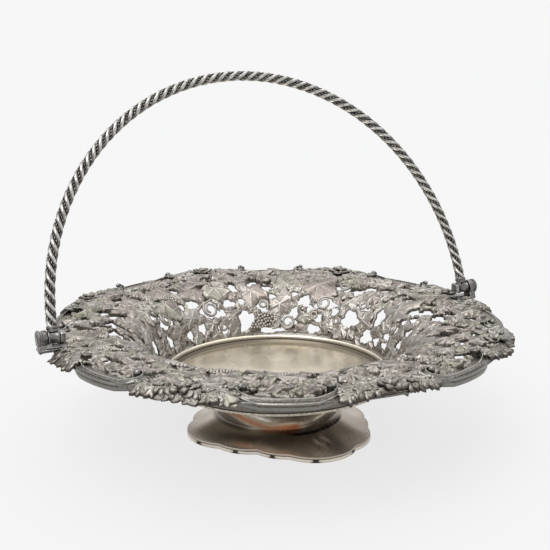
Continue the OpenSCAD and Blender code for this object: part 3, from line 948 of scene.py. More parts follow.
    def _sheet(self) -> Shell:
        """Makes the sheet with its windows cut out and their edges drawn smooth.

        Returns:
            The closed sheet.
        """
        angle = np.linspace(0, 360, self.columns, endpoint=False)[None, :].repeat(self.rows, 0)
        far = np.linspace(self.section.far[0], self.section.far[-1] - self.section.overhang, self.rows)
        far = far[:, None].repeat(self.columns, 1)
        step_a, step_f = 360 / self.columns, far[1, 0] - far[0, 0]
        keep = self.hole(angle[:-1] + step_a / 2, far[:-1] + step_f / 2) > self.cut_back
        angle, far = self._drawn_to_edge(angle, far, keep)
        worked = self._matting(angle, far)
        top = self.section.at(angle, far, 0.25 + 0.45 * worked).reshape(-1, 3)
        under = self.section.at(angle, far, -self.sheet_t + 0.2 * worked).reshape(-1, 3)
        wear_and_shading = np.where(far < 2.4, 0.6, 0.08 + 0.3 * worked).ravel()
        # Painted shade: the sheet's underside is made dark, a little lighter near the lip
        wear_and_shading = np.concatenate([wear_and_shading, 0.26 * np.clip(2 - far / 9, 0, 1).ravel()])
        faces = self._sheet_faces(keep)
        return Shell(np.concatenate([top, under]), faces, wear_and_shading)

    def _drawn_to_edge(
        self, angle: np.ndarray, far: np.ndarray, keep: np.ndarray
    ) -> tuple[np.ndarray, np.ndarray]:
        """Moves the corners beside a window onto its edge.

        Args:
            angle: Angle of each corner.
            far: Distance of each corner along the section.
            keep: Which quads of the sheet stay.

        Returns:
            The moved angles and distances.
        """
        full = np.zeros((self.rows + 1, self.columns), bool)
        full[1:-1] = keep
        touched = np.zeros((self.rows, self.columns, 4), bool)
        for k, (up, back) in enumerate(((0, 0), (1, 0), (0, 1), (1, 1))):
            touched[..., k] = np.roll(full[up:self.rows + up], back, 1)
        mixed = touched.any(2) & ~touched.all(2)
        mixed[0] = mixed[-1] = False
        angle, far = angle.copy(), far.copy()
        angle[mixed], far[mixed] = self._pushed(angle[mixed], far[mixed], self.cut_back)
        return angle, far

    def _matting(self, angle: np.ndarray, far: np.ndarray) -> np.ndarray:
        """Gives the struck texture of the ground between the leaves, from 0 to 1.

        Args:
            angle: Angles round the dish.
            far: Distances along the section.

        Returns:
            Height of the texture at each point.
        """
        x = np.radians(angle) * 100
        swirl = far + 2.5 * np.sin(x * 0.31 + 0.9 * np.sin(far * 0.4))
        fine = np.sin(swirl * 1.9) * np.sin(x * 1.3 + 2.0 * np.sin(far * 0.7))
        plain = np.clip((far - 1.0) / 3.0, 0, 1)
        return plain * np.clip(0.5 + 0.35 * fine + 0.25 * np.sin(x * 2.9 + far * 2.3), 0, 1)

    def _sheet_faces(self, keep: np.ndarray) -> list[np.ndarray]:
        """Numbers the sheet's upper, under and edge faces.

        Args:
            keep: Which quads of the sheet stay.

        Returns:
            The face groups.
        """
        kept = grid_faces(self.rows, self.columns)[keep.ravel(), ::-1]
        count = self.rows * self.columns
        border = np.ones_like(keep[:1])
        open_above = np.concatenate([~keep[1:], border])
        open_below = np.concatenate([border, ~keep[:-1]])
        open_after = ~np.roll(keep, -1, 1)
        open_before = ~np.roll(keep, 1, 1)
        row, column = np.nonzero(np.ones_like(keep))
        after = (column + 1) % self.columns
        low_a, low_b = row * self.columns + column, row * self.columns + after
        high_a, high_b = low_a + self.columns, low_b + self.columns
        edges = ((open_below, low_b, low_a), (open_above, high_a, high_b),
                 (open_after, high_b, low_b), (open_before, low_a, high_a))
        sides = []
        for gap, a, b in edges:
            use = (gap & keep).ravel()
            sides.append(np.stack([a[use], a[use] + count, b[use] + count, b[use]], 1))
        return [kept, kept[:, ::-1] + count, *sides]

    def _ornament(self, work: Gathering, place: Place, start: float, draw: np.random.Generator) -> None:
        """Adds one ornament to the work.

        Args:
            work: Where it goes.
            place: What it is and where it sits.
            start: Angle of the half that it belongs to.
            draw: Source of its small irregularities.
        """
        lift = draw.uniform(0.2, 1.1)
        shells = self._sprig(place.kind, place.size, draw)
        lay = self.section.lay if place.kind in (GRAPES, COIL, FLOWER) else self._laid
        for shell in shells:
            laid = lay(shell.moved((0, 0, lift)), place.angle + start, place.far, place.turn)
            work.add(laid, place.tint)

    def _sprig(self, kind: Sprig, size: float, draw: np.random.Generator) -> list[Shell]:
        """Makes the shells of one ornament.

        Args:
            kind: What it is.
            size: Its length or diameter.
            draw: Source of its small irregularities.

        Returns:
            The shells on the plane z = 0.
        """
        if kind is GRAPES:
            return grape_bunch(size, draw)
        if kind is COIL:
            return [tendril(size)]
        if kind is FEATHER:
            return self._feather(size, draw)
        if kind is FLOWER:
            return rosette(size, BLOSSOM, draw)
        return [(VINE_LEAF if kind is LEAF else IVY_LEAF).shell(size, draw, True)]

    def _feather(self, size: float, draw: np.random.Generator) -> list[Shell]:
        """Fans out narrow curved blades from one stalk.

        Args:
            size: Size over the whole fan.
            draw: Source of its irregularities.

        Returns:
            The blades.
        """
        blades = []
        for k in range(-5, 6):
            length = size * (0.62 - 0.03 * abs(k)) * draw.uniform(0.9, 1.08)
            blade = BLADE_LEAF.shell(length, draw, True).moved((0, length * 0.42, 0.25 + 0.12 * (5 - abs(k))))
            blades.append(blade.moved((0.4 * k, -size * 0.3, 0)).turned(-13 * k + draw.normal(0, 2)))
        return blades

    def _fill_up(self, work: Gathering, draw: np.random.Generator) -> None:
        """Sets small leaves over the ground that the main ornament leaves bare, up to the windows' edges.

        Args:
            work: Where the leaves go.
            draw: Source of their places and turns.
        """
        angles = draw.uniform(0, 360, self.filler_tries)
        fars = draw.uniform(5.0, self.section.land_far + 4, self.filler_tries)
        rooms = self.hole(angles, fars)
        taken = np.array([(p.angle + s, p.far, 0.3 * p.size) for p in PLACES for s in (0.0, self.half_turn)])
        for angle, far, room in zip(angles, fars, rooms):
            size = min(draw.uniform(12, 19), 6.0 + 4.0 * room)
            off = np.radians((angle - taken[:, 0] + 180) % 360 - 180) * self.section.radius(far)
            if size < 7 or (np.hypot(off, far - taken[:, 1]) < taken[:, 2] + 0.13 * size).any():
                continue
            taken = np.vstack([taken, (angle, far, 0.23 * size)])
            form = IVY_LEAF if draw.uniform() < 0.4 else VINE_LEAF
            leaf = form.shell(size, draw, True).moved((0, 0, draw.uniform(-0.4, 0.6)))
            work.add(self._laid(leaf, angle, far, draw.uniform(0, 360)), draw.uniform(0.0, 1.0))


@dataclass
class Well:
    """The smooth centre of the dish and the bead round it.

    Attributes:
        inner_r: Radius inside the bead.
        rim_z: Height of the plate's rim.
        sink: Depth of the floor below the rim.
        step_w: Width of the step down.
        sheet_t: Thickness of the plate.
        lip_w: Width of the soldered lip.
        bead_r: Radius of the bead's section.
        steps: Corners round the well.
    """

    inner_r: float
    rim_z: float
    sink: float = 2.0
    step_w: float = 2.4
    sheet_t: float = 1.4
    lip_w: float = 4.0
    bead_r: float = 1.6
    steps: int = 192

    def build(self, finish: bpy.types.Material) -> list[bpy.types.Object]:
        """Makes the plate and the bead.

        Args:
            finish: Material of both.

        Returns:
            The plate and the bead.
        """
        dish, ring = self._plate(), self._bead()
        made = []
        for name, node, shell, tint in (
            # The step, the lip beside it and the underside take the nearly black first tint, as painted shade
            ("well_dish", "well_plate", dish, np.where(dish.wear_and_shading > 0.2, 0.5, 0.0)),
            ("well_ring", "well_bead", ring, 0.3),
        ):
            gathered = Gathering()
            gathered.add(shell, tint)
            piece = gathered.to_object(name, finish, 60)
            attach(piece, BASKET)
            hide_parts(node)
            made.append(piece)
        return made

    def _plate(self) -> Shell:
        """Turns the plate, with a slow hammered wave in its floor.

        Returns:
            The closed plate.
        """
        floor_r = self.inner_r - self.step_w
        t = np.linspace(0, 1, 12)
        floor_z = self.rim_z - self.sink
        step = np.stack([floor_r + self.step_w * t, floor_z + self.sink * (3 * t**2 - 2 * t**3)], 1)
        flat_r = np.linspace(0.02, floor_r, 40)[:-1]
        flat = np.stack([flat_r, np.full(len(flat_r), floor_z)], 1)
        top = np.concatenate([flat, step, [[self.inner_r + self.lip_w, self.rim_z]]])
        under = top - [0, self.sheet_t]
        shell = lathe(np.concatenate([under, top[::-1]]), self.steps)
        x, y = shell.points[:, 0], shell.points[:, 1]
        away = np.hypot(x, y)
        fade = np.clip(1 - away / floor_r, 0, 1)
        upper = np.arange(len(away)) % (2 * len(top)) >= len(top)
        # Painted shade: the step, the lip beside it, the underside and the outer edge are made dark; only the
        # floor keeps its colour
        shell.wear_and_shading[:] = np.where(upper, np.where(away < floor_r + 0.1, 0.55, 0.02), 0.1)
        shell.wear_and_shading[away > self.inner_r + self.lip_w - 0.1] = 0.22
        wave = 0.16 * np.sin(x * 0.085 + 1.2) * np.cos(y * 0.07) + 0.06 * np.sin(x * 0.21 + y * 0.17)
        shell.points[:, 2] += fade * wave
        return shell

    def _bead(self) -> Shell:
        """Turns the half-round bead.

        Returns:
            The closed bead.
        """
        a = np.linspace(0, math.pi, 14)
        mid = self.inner_r + self.lip_w / 2
        base = self.rim_z + self.sheet_t
        section = np.stack([mid + self.bead_r * np.cos(a), base + self.bead_r * np.sin(a)], 1)
        return lathe(section, self.steps, 0.4)


# Border


@dataclass
class RimBorder:
    """The border on the land: plain C-scrolls with sprays of flowers between them.

    Attributes:
        section: Surface that it stands on.
        count: Scrolls, and as many sprays.
        scroll_sweep: Angle that a scroll's plain back covers.
        curl_run: Length of the curl at each end.
        band_w: Width of a scroll's moulding.
        band_tilt: Slope of a scroll's face towards the outside.
        band_h: Height of a scroll's moulding.
        curl_rise: How far the curls stand up above the band.
        sag: How far a scroll's middle hangs below its ends.
        ear_half: Half width of the gap for a hinge ear.
        edge_r: Radius of the rim's edge.
        droop: How far the sprays hang over the edge.
        eye_r: Radius of the button in each curl.
        rose_d: Diameter of the flower in the middle of a spray.
        blossom_d: Diameter of the flowers beside it.
        spray_far: Distance of a spray's middle from the land's inner edge.
        leaves_back: Distance of the leaves inside a scroll from its middle.
        curl_bend: Bend at the very end of a curl, for each millimetre.
        curl_taper: How much narrower the band gets along a curl, as a share.
        curl_lower: How much lower it gets, as a share.
        fall: How steeply the sprays fall at the rim's edge.
        fall_start: Distance inside the edge at which they begin to.
        fall_run: Distance over which they fall.
        edge_darken: How much darker the sprays are made at the edge.
        darken_run: Distance over which that begins.
        wire_r: Radius of the edge wire.
        wire_in: Distance of its middle inside the land's edge.
        wire_drop: Distance of its middle below the land.
        seed: Seed of all irregularities.
    """

    section: DishSection
    count: int = 8
    scroll_sweep: float = 12.0
    curl_run: float = 29.0
    band_w: float = 4.4
    band_tilt: float = 0.34
    band_h: float = 2.2
    curl_rise: float = 4.6
    sag: float = 2.4
    ear_half: float = 6.4
    edge_r: float = 149.8
    droop: float = 5.0
    eye_r: float = 1.7
    rose_d: float = 16.0
    blossom_d: float = 10.5
    spray_far: float = 8.5
    leaves_back: float = 8.2
    curl_bend: float = 0.55
    curl_taper: float = 0.6
    curl_lower: float = 0.15
    fall: float = 0.6
    fall_start: float = 2.6
    fall_run: float = 4.5
    edge_darken: float = 0.4
    darken_run: float = 6.0
    wire_r: float = 0.9
    wire_in: float = 0.4
    wire_drop: float = 1.0
    seed: int = 23

    def build(self, finish: bpy.types.Material) -> list[bpy.types.Object]:
        """Makes every scroll, spray and the edge wire.

        Args:
            finish: Material of the whole border.

        Returns:
            The border's pieces.
        """
        draw = np.random.default_rng(self.seed)
        made = []
        for i in range(1, self.count + 1):
            scroll, spray = Gathering(), Gathering()
            self._scroll(scroll, (i - 0.5) * 360 / self.count, draw)
            self._spray(spray, i, draw)
            for gathered, node in ((scroll, f"rim_scroll_{i}"), (spray, f"rim_spray_{i}")):
                piece = gathered.to_object(f"{node}_work", finish, 45)
                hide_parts(node)
                made.append(piece)
        made.append(self._edge_wire(finish))
        for piece in made:
            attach(piece, BASKET)
        return made

    def _edge_wire(self, finish: bpy.types.Material) -> bpy.types.Object:
        """Makes the rolled wire under the rim's edge.

        Args:
            finish: Material of the wire.

        Returns:
            The wire.
        """
        a = np.linspace(0, 2 * math.pi, 12, endpoint=False)
        middle_r, middle_z = self.section.land_r - self.wire_in, self.section.rim_z - self.wire_drop
        ring = np.stack([middle_r + self.wire_r * np.cos(a), middle_z + self.wire_r * np.sin(a)], 1)
        wire = Gathering()
        # The wire is made darker than the scrolls, as painted shade under the rim's edge
        wire.add(lathe(ring, 240, 0.3), 0.0)
        piece = wire.to_object("rim_edge_wire", finish)
        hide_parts("edge_wire")
        return piece

    def _scroll(self, work: Gathering, angle: float, draw: np.random.Generator) -> None:
        """Sweeps one C-scroll: a coved band whose ends curl in towards the dish.

        Args:
            work: Where it goes.
            angle: Angle of its middle.
            draw: Source of small irregularities.
        """
        back_r = self.edge_r - self.band_w / 2
        half = math.radians(self.scroll_sweep / 2) * back_r
        s = np.linspace(-half - self.curl_run, half + self.curl_run, 151)
        past = np.clip((np.abs(s) - half) / self.curl_run, 0, 1)
        bend = 1 / back_r + self.curl_bend * past**1.5
        heading = self._summed(0.5 * (bend[1:] + bend[:-1]) * np.diff(s))
        slope = 0.5 * (heading[1:] + heading[:-1])
        x = self._summed(np.cos(slope) * np.diff(s))
        y = -self._summed(np.sin(slope) * np.diff(s))
        width = self.band_w / 2 * (1 - self.curl_taper * past)
        height = self.band_h * (1 - self.curl_lower * past)
        hang = self.sag * (1 - past) ** 2
        count = len(SCROLL_SECTION)
        points = np.empty((len(s), count, 3))
        for k, (u, v, _) in enumerate(SCROLL_SECTION):
            points[:, k, 0] = x + np.sin(heading) * width * u
            points[:, k, 1] = y + np.cos(heading) * width * u
            lift = (self.curl_rise * past**1.3 + self.band_tilt * width * (1 - u)) * (v > 0)
            points[:, k, 2] = height * v + lift - hang
        # The third column paints shade in the cove and underneath, and highlights with rubbed wear on the
        # lips
        wear_and_shading = np.tile([worn for _, _, worn in SCROLL_SECTION], len(s))
        ring = np.arange(count)
        caps = [ring[None, :], (ring + (len(s) - 1) * count)[None, ::-1]]
        shell = Shell(points.reshape(-1, 3), [grid_faces(len(s), count)[:, ::-1], *caps], wear_and_shading)
        far = self.section.land_far + self.section.land_w + back_r - self.section.land_r
        work.add(self.section.lay(shell, angle, far), 0.0)
        for end in (0, -1):
            eye = ball(self.eye_r, 0.9).moved((x[end], y[end], self.curl_rise + 0.9))
            work.add(self.section.lay(eye, angle, far), 0.0)
        for k in range(-2, 3):
            leaf = SPRAY_LEAF.shell(draw.uniform(10, 13), draw).scaled(1, 1, 0.6)
            turn = 180 + 9 * k + draw.uniform(-18, 18)
            inside = far - self.leaves_back + draw.uniform(-1, 1)
            work.add(self.section.lay(leaf, angle + 2.6 * k, inside, turn), draw.uniform(*SPRAY_TINT))

    @staticmethod
    def _summed(steps: np.ndarray) -> np.ndarray:
        """Sums up steps along a scroll, counted from its middle."""
        total = np.concatenate([[0], np.cumsum(steps)])
        return total - total[len(total) // 2]

    def _spray(self, work: Gathering, number: int, draw: np.random.Generator) -> None:
        """Heaps up one spray of leaves, flowers and buds, parted at a hinge.

        Args:
            work: Where it goes.
            number: Number of the spray; 1 and the one opposite stand at the hinges.
            draw: Source of its irregularities.
        """
        angle = (number - 1) * 360 / self.count
        far = self.section.land_far + self.spray_far
        hinge = (number - 1) % (self.count // 2) == 0
        start = self.ear_half if hinge else 0.0
        parts: list[tuple[Shell, float, float, float]] = []
        for side in (-1, 1):
            for along, out, size, turn in SPRAY_LEAVES:
                leaf = SPRAY_LEAF.shell(size * draw.uniform(0.92, 1.08), draw).turned(draw.normal(0, 8), 1)
                leaf = leaf.turned(-side * (turn + draw.normal(0, 15))).moved((0, 0, draw.uniform(0.1, 1.0)))
                parts.append((leaf, side * (along + 0.8 * start), out, draw.uniform(*SPRAY_TINT)))
            for along, out, size in SPRAY_BUDS:
                parts.append((ball(size, 0.85).moved((0, 0, 1.6)), side * (along + 0.8 * start), out, 0.7))
            for bloom in rosette(self.blossom_d, BLOSSOM, draw):
                parts.append((bloom.moved((0, 0, 0.6)), side * (start + 5.8 if hinge else 14.5), 4.0, 0.8))
        if not hinge:
            for bloom in rosette(self.rose_d, ROSE, draw):
                parts.append((bloom.moved((0, 0, 0.8)), 0.0, 3.8, 0.75))
        for shell, along, out, tint in parts:
            work.add(self._hung(shell.moved((along, 0, 0.3)), angle, far + out), tint)

    def _hung(self, shell: Shell, angle: float, far: float) -> Shell:
        """Lays a piece of a spray on the land, moved in to the border's reach and drooping over the edge.

        Args:
            shell: The piece on the plane z = 0.
            angle: Angle of the spray's middle.
            far: Distance of its middle along the section.

        Returns:
            The piece in the part's frame.
        """
        laid = self.section.lay(shell, angle, far)
        over = np.hypot(laid.points[:, 0], laid.points[:, 1])
        sideways = self.edge_r * over / np.maximum(np.abs(laid.points[:, 1]), 1.0)
        back = max(0.0, float((over - np.minimum(self.edge_r + self.droop, sideways)).max()))
        laid = self.section.lay(shell, angle, far - back)
        over = np.hypot(laid.points[:, 0], laid.points[:, 1])
        laid.points[:, 2] -= self.fall * np.clip(over - self.edge_r + self.fall_start, 0, self.fall_run)
        # The sprays are made darker towards the rim's edge
        dull = np.clip((over - self.edge_r + self.darken_run) / self.darken_run, 0, 1)
        laid.wear_and_shading = laid.wear_and_shading * (1 - self.edge_darken * dull)
        return laid


# Section of a scroll: place across, height, and brightness, with painted shade in the cove and underneath and
# painted highlights with rubbed wear on the lips
SCROLL_SECTION = (
    (-1.0, -0.4, 0.1), (-1.0, 0.5, 0.5), (-0.92, 0.95, 0.9), (-0.8, 0.97, 0.85), (-0.55, 0.5, 0.42),
    (-0.1, 0.1, 0.22), (0.3, 0.1, 0.22), (0.58, 0.5, 0.4), (0.74, 0.8, 0.75), (0.9, 0.75, 0.7),
    (0.97, 0.45, 0.35), (0.86, 0.12, 0.1), (0.96, -0.15, 0.36), (1.0, -0.45, 0.42), (0.97, -0.8, 0.36),
    (0.8, -1.1, 0.1),
)
# Least and most tint of the leaves in the border
SPRAY_TINT = (0.45, 1.0)
# Half of a spray: distance from its middle, distance outwards, length and turn of each leaf
SPRAY_LEAVES = (
    (6, 7, 16, 50), (8, -4.5, 16, 120), (12, 3, 17, 85), (13, -5, 14, 130), (16, 8, 13, 60),
    (18, -1, 15, 100), (20, 5, 12, 75), (25, 7.5, 12, 66), (26, 0.5, 13, 92), (25, -5.5, 13, 118),
)
# Half of a spray's buds: distance from its middle, distance outwards and radius
SPRAY_BUDS = ((10, 9.5, 1.8), (20, 9.0, 1.7), (24.5, 10, 1.5), (11, -6.5, 1.5), (20, -6, 1.4), (29, 4, 1.6))


# Foot


@dataclass
class Foot:
    """The collar under the well and the lobed foot, bent in on one side.

    A mark is given by its direction and its half width, in degrees.

    Attributes:
        top_z: Height of the collar's top.
        foot_r: Radius over the lobes.
        lobes: Lobes round the edge.
        lobe_r: Radius of a lobe's arc.
        lobe_turn: Angle of one lobe.
        dent: How far the foot is pushed in.
        dent_turn: Direction of the pushed-in place.
        dent_half: Half of the angle over which it is pushed in.
        shift: How far the bent edge stands off the dish's middle.
        seam_r: Radius at the seam.
        seam_z: Height of the seam.
        solder_at: Share of the foot's spread at which the solder's edge shows.
        top_r: Radius of the collar under the well.
        metal_t: Thickness of the metal.
        band_h: Height of the edge band.
        slant_copper: Copper that slants down the collar.
        seam_copper: Copper along the seam's front.
        flare_copper: The two streaks in which the copper goes on below the seam.
        slant_end: Angle at which the slanting copper meets the seam.
        left_shine: Painted highlight streak above the slanting copper.
        right_shine: Painted highlight streak that climbs to the right.
        crusted: Stretch of the seam with a crust of solder.
        under_seam_shade: The two stretches under the seam that are painted dark, as painted shade.
        bruised: Stretch of the foot with the deepest dents.
        knock: Small crumpled knock in the foot.
        knock_glint: Painted glint at that knock.
        pale: Side of the foot that is painted paler, as painted light.
        steps: Corners round the foot.
    """

    top_z: float
    foot_r: float = 57.0
    lobes: int = 14
    lobe_r: float = 28.0
    lobe_turn: float = 276.0
    dent: float = 9.0
    dent_turn: float = 226.0
    dent_half: float = 54.0
    shift: tuple[float, float] = (2.2, -6.0)
    seam_r: float = 41.0
    seam_z: float = 12.0
    solder_at: float = 0.17
    top_r: float = 50.0
    metal_t: float = 1.2
    band_h: float = 2.4
    slant_copper: Mark = (215.0, 30.0)
    seam_copper: Mark = (256.0, 14.0)
    flare_copper: tuple[Mark, Mark] = ((238.0, 17.0), (258.0, 12.0))
    slant_end: float = 242.0
    left_shine: Mark = (228.0, 24.0)
    right_shine: Mark = (290.0, 20.0)
    crusted: Mark = (297.0, 26.0)
    under_seam_shade: tuple[Mark, Mark] = ((268.0, 20.0), (305.0, 22.0))
    bruised: Mark = (285.0, 50.0)
    knock: Mark = (277.0, 6.0)
    knock_glint: Mark = (276.0, 7.0)
    pale: Mark = (205.0, 28.0)
    steps: int = 448

    def edge(self, angle: np.ndarray) -> np.ndarray:
        """Gives the radius of the lobed edge about its own middle at each angle.

        Args:
            angle: Angles about the foot's middle.

        Returns:
            The radii.
        """
        far = np.full(angle.shape, self.seam_r)
        for k in range(self.lobes):
            lead = self.lobe_turn + 360 * k / self.lobes
            middle = self.foot_r + self._bend(lead - self.dent_turn) - self.lobe_r
            off = np.radians(angle - lead)
            inside = self.lobe_r**2 - (middle * np.sin(off)) ** 2
            reach = middle * np.cos(off) + np.sqrt(np.maximum(inside, 0))
            far = np.where((inside > 0) & (np.cos(off) > 0), np.maximum(far, reach), far)
        return far

    def _bend(self, angle: float) -> float:
        """Gives how far the edge lies out of round at an angle from the pushed-in place.

        Args:
            angle: Angle from the pushed-in place.

        Returns:
            The distance, negative where the edge is pushed in.
        """
        x = abs((angle + 180) % 360 - 180)
        if x <= self.dent_half:
            return -self.dent * math.cos(math.pi * x / self.dent_half)
        if x < 2 * self.dent_half:
            return self.dent * math.cos(math.pi / 2 * (x - self.dent_half) / self.dent_half) ** 2
        return 0.0

    def build(self, finish: bpy.types.Material) -> list[bpy.types.Object]:
        """Makes the collar, the foot and the edge band.

        Args:
            finish: Material of all three.

        Returns:
            The three pieces.
        """
        made = []
        for node, rings in (
            ("foot_collar", self._collar()), ("foot_flare", self._flare()), ("foot_band", self._band())
        ):
            gathered = Gathering()
            gathered.add(*self._loft(rings))
            piece = gathered.to_object(f"{node}_work", finish, 60)
            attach(piece, BASKET)
            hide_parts(node)
            made.append(piece)
        return made

    @property
    def _angles(self) -> np.ndarray:
        """Angles of the corners round each ring."""
        return np.linspace(0, 360, self.steps, endpoint=False)

    def _loft(self, rings: Sequence[Ring]) -> tuple[Shell, np.ndarray]:
        """Joins closed rings into one shell.

        Args:
            rings: Radius, height, share of the shift, relief and tint of each ring, all round the section.

        Returns:
            The closed shell, and its tint at each corner.
        """
        a = np.radians(self._angles)
        x, y = self.shift
        points = np.concatenate([
            np.stack([x * part + r * np.cos(a), y * part + r * np.sin(a), z + 0 * a], 1)
            for r, z, part, _, _ in rings])
        wear_and_shading, tint = (np.concatenate([np.broadcast_to(ring[k], a.shape) for ring in rings]) for k in (3, 4))
        return Shell(points, [grid_faces(len(rings), self.steps, round_rows=True)], wear_and_shading), tint

    def _zone(self, middle: float, half: float) -> np.ndarray:
        """Gives a soft mask, from 0 to 1, round one direction."""
        return bell(self._off(middle), 0, half)

    def _off(self, middle: float) -> np.ndarray:
        """Gives how far each corner lies from one direction, in degrees."""
        return (self._angles - middle + 180) % 360 - 180

    def _wave(self, waves: float, lead: float = 0.0) -> np.ndarray:
        """Gives a wave round the foot, which starts at an angle of its own."""
        return np.sin(np.radians(waves * self._angles + lead))

    def _crust(self) -> np.ndarray:
        """Gives how thick the solder's crust is round the seam."""
        return self._zone(*self.crusted) * (0.5 + 0.5 * self._wave(23) * self._wave(41, 50))

    def _collar(self) -> list[Ring]:
        """Shapes the waisted collar, worn to copper on one side and crusted with solder on the other, painted
        dark as shade with painted highlight streaks.

        Returns:
            Rings round its section.
        """
        a = self._angles
        wave = 0.25 * self._wave(3, 20) + 0.15 * self._wave(7)
        crust = self._crust()
        climb = 0.02 + 0.0095 * np.clip(self.slant_end - a, 0, 62)
        right = 0.32 + 0.012 * self._off(self.right_shine[0])
        outer: list[Ring] = []
        for t in np.linspace(0, 1, 22):
            spread = (self.top_r - self.seam_r) * (0.5 * t + 0.5 * t**2.6)
            streak = self._zone(*self.slant_copper) * bell(t, climb, 0.13)
            streak = streak + self._zone(*self.seam_copper) * bell(t, 0.07, 0.13)
            shine = self._zone(*self.right_shine) * bell(t, right, 0.1)
            shine = shine + self._zone(*self.left_shine) * bell(t, climb + 0.24, 0.1)
            crumple = np.sin(np.radians(31 * a) + 23 * t) * np.sin(np.radians(17 * a) - 31 * t)
            bulge = shine * (1 - bell(t, 0, 0.1)) * (0.55 + 0.4 * crumple) + wave * t * (1 - t)
            # Painted shade: the collar is dark, darker still towards its top under the dish; painted
            # highlights along the shine streaks, which also bulge
            wear_and_shading = 0.29 - 0.25 * crust * bell(t, 0, 0.16) + 0.75 * shine - 0.2 * t**3
            z = np.full(a.shape, self.seam_z + (self.top_z - self.seam_z) * t)
            outer.append((self.seam_r + spread + bulge, z, 0.0, wear_and_shading, np.clip(1.35 * streak, 0, 1)))
        lip_h, lip_w, inside = 0.9, 3.6, (0.0, 0.2, 0.0)
        r, z, *rest = outer[-1]
        outer[-1] = (r, z - lip_h, *rest)
        reach = np.full(a.shape, self.top_r + lip_w)
        lip = [(reach, np.full(a.shape, self.top_z - drop), *inside) for drop in (lip_h, 0.0)]
        inner = [(ring[0] - self.metal_t, ring[1], *inside) for ring in outer[::-1]]
        return [*outer, *lip, *inner]

    def _flare(self) -> list[Ring]:
        """Shapes the foot: a cove that runs out to the lobed edge, with painted shade and copper at the seam.

        Returns:
            Rings round its section.
        """
        a = self._angles
        edge = self.edge(a) - 0.25
        spread = bell(np.minimum(a, 360 - a), 0, 9)
        smooth = np.fft.ifft(np.fft.fft(edge) * np.fft.fft(spread / spread.sum())).real
        low = self.band_h + self.metal_t
        crust = self._crust()
        dents = 0.7 * self._wave(5) + 0.9 * self._wave(9, 40) * self._zone(*self.bruised)
        dents = dents + 0.4 * self._wave(13)
        copper_round, under_seam_shade_round = (
            np.clip(self._zone(*first) + self._zone(*second), 0, 1)
            for first, second in (self.flare_copper, self.under_seam_shade))
        knock_round = self._zone(*self.knock) * self._wave(48)
        knock_glint_round = self._zone(*self.knock_glint) * (0.6 + 0.4 * self._wave(60))
        top: list[Ring] = []
        for t in np.linspace(0, 1, 30):
            part = t**1.2
            lobed = t**9
            seam = bell(t, self.solder_at, 0.055)
            above = math.exp(-((t / self.solder_at) ** 4))
            r = self.seam_r + (lobed * edge + (1 - lobed) * smooth - self.seam_r) * part
            r = r + seam * (0.02 + 0.8 * crust)
            z = low + (self.seam_z - low) * (1 - t) ** 1.8 + dents * t * (1 - t)
            z = z + 0.5 * knock_round * bell(t, 0.5, 0.13)
            # Painted shade: darker above the solder line, as the collar is, and darkest under the seam
            wear_and_shading = 0.58 - 0.12 * above - 0.55 * seam * under_seam_shade_round
            # A painted glint at the knock, and painted light on the pale side
            wear_and_shading = wear_and_shading + 0.7 * knock_glint_round * bell(t, 0.47, 0.12) + 0.3 * self._zone(*self.pale) * t
            copper = 0.36 * (1 - above) + copper_round * bell(t, 0.06, 0.11)
            top.append((r, z, part, wear_and_shading, copper))
        last = len(top) - 1
        under: list[Ring] = []
        for k, (r, z, part, _, _) in enumerate(top):
            thin = self.metal_t * (1 - k / last)
            # The underside is painted dark as shade, its last ring less so
            under.append((r - thin, z - self.metal_t, part, 0.3 * (k == last), 0.2 * (k == last)))
        return [*top[::-1], *under]

    def _band(self) -> list[Ring]:
        """Shapes the edge band: a rounded wire that follows the lobes, bright along its face with rubbed wear
        and a painted highlight, and painted dark as shade where the lobes meet.

        Returns:
            Rings round its section.
        """
        edge = self.edge(self._angles)
        step = 360 / self.lobes
        notch = bell((self._angles - self.lobe_turn) % step, step / 2, 2.3)
        section = ((-1.8, 0.0), (-0.35, 0.0), (-0.08, 0.3), (0.0, 1.0), (-0.05, 1.7), (-0.4, 2.3),
                   (-1.0, self.band_h), (-1.8, self.band_h))
        # Painted highlight with rubbed wear along the band's face, and painted shade in the notches where the
        # lobes meet
        return [
            (edge + u, np.full(edge.shape, v), 1.0, 0.35 + 0.55 * bell(v, 1.4, 0.8) - 0.9 * notch, 0.5)
            for u, v in section]


# Handle


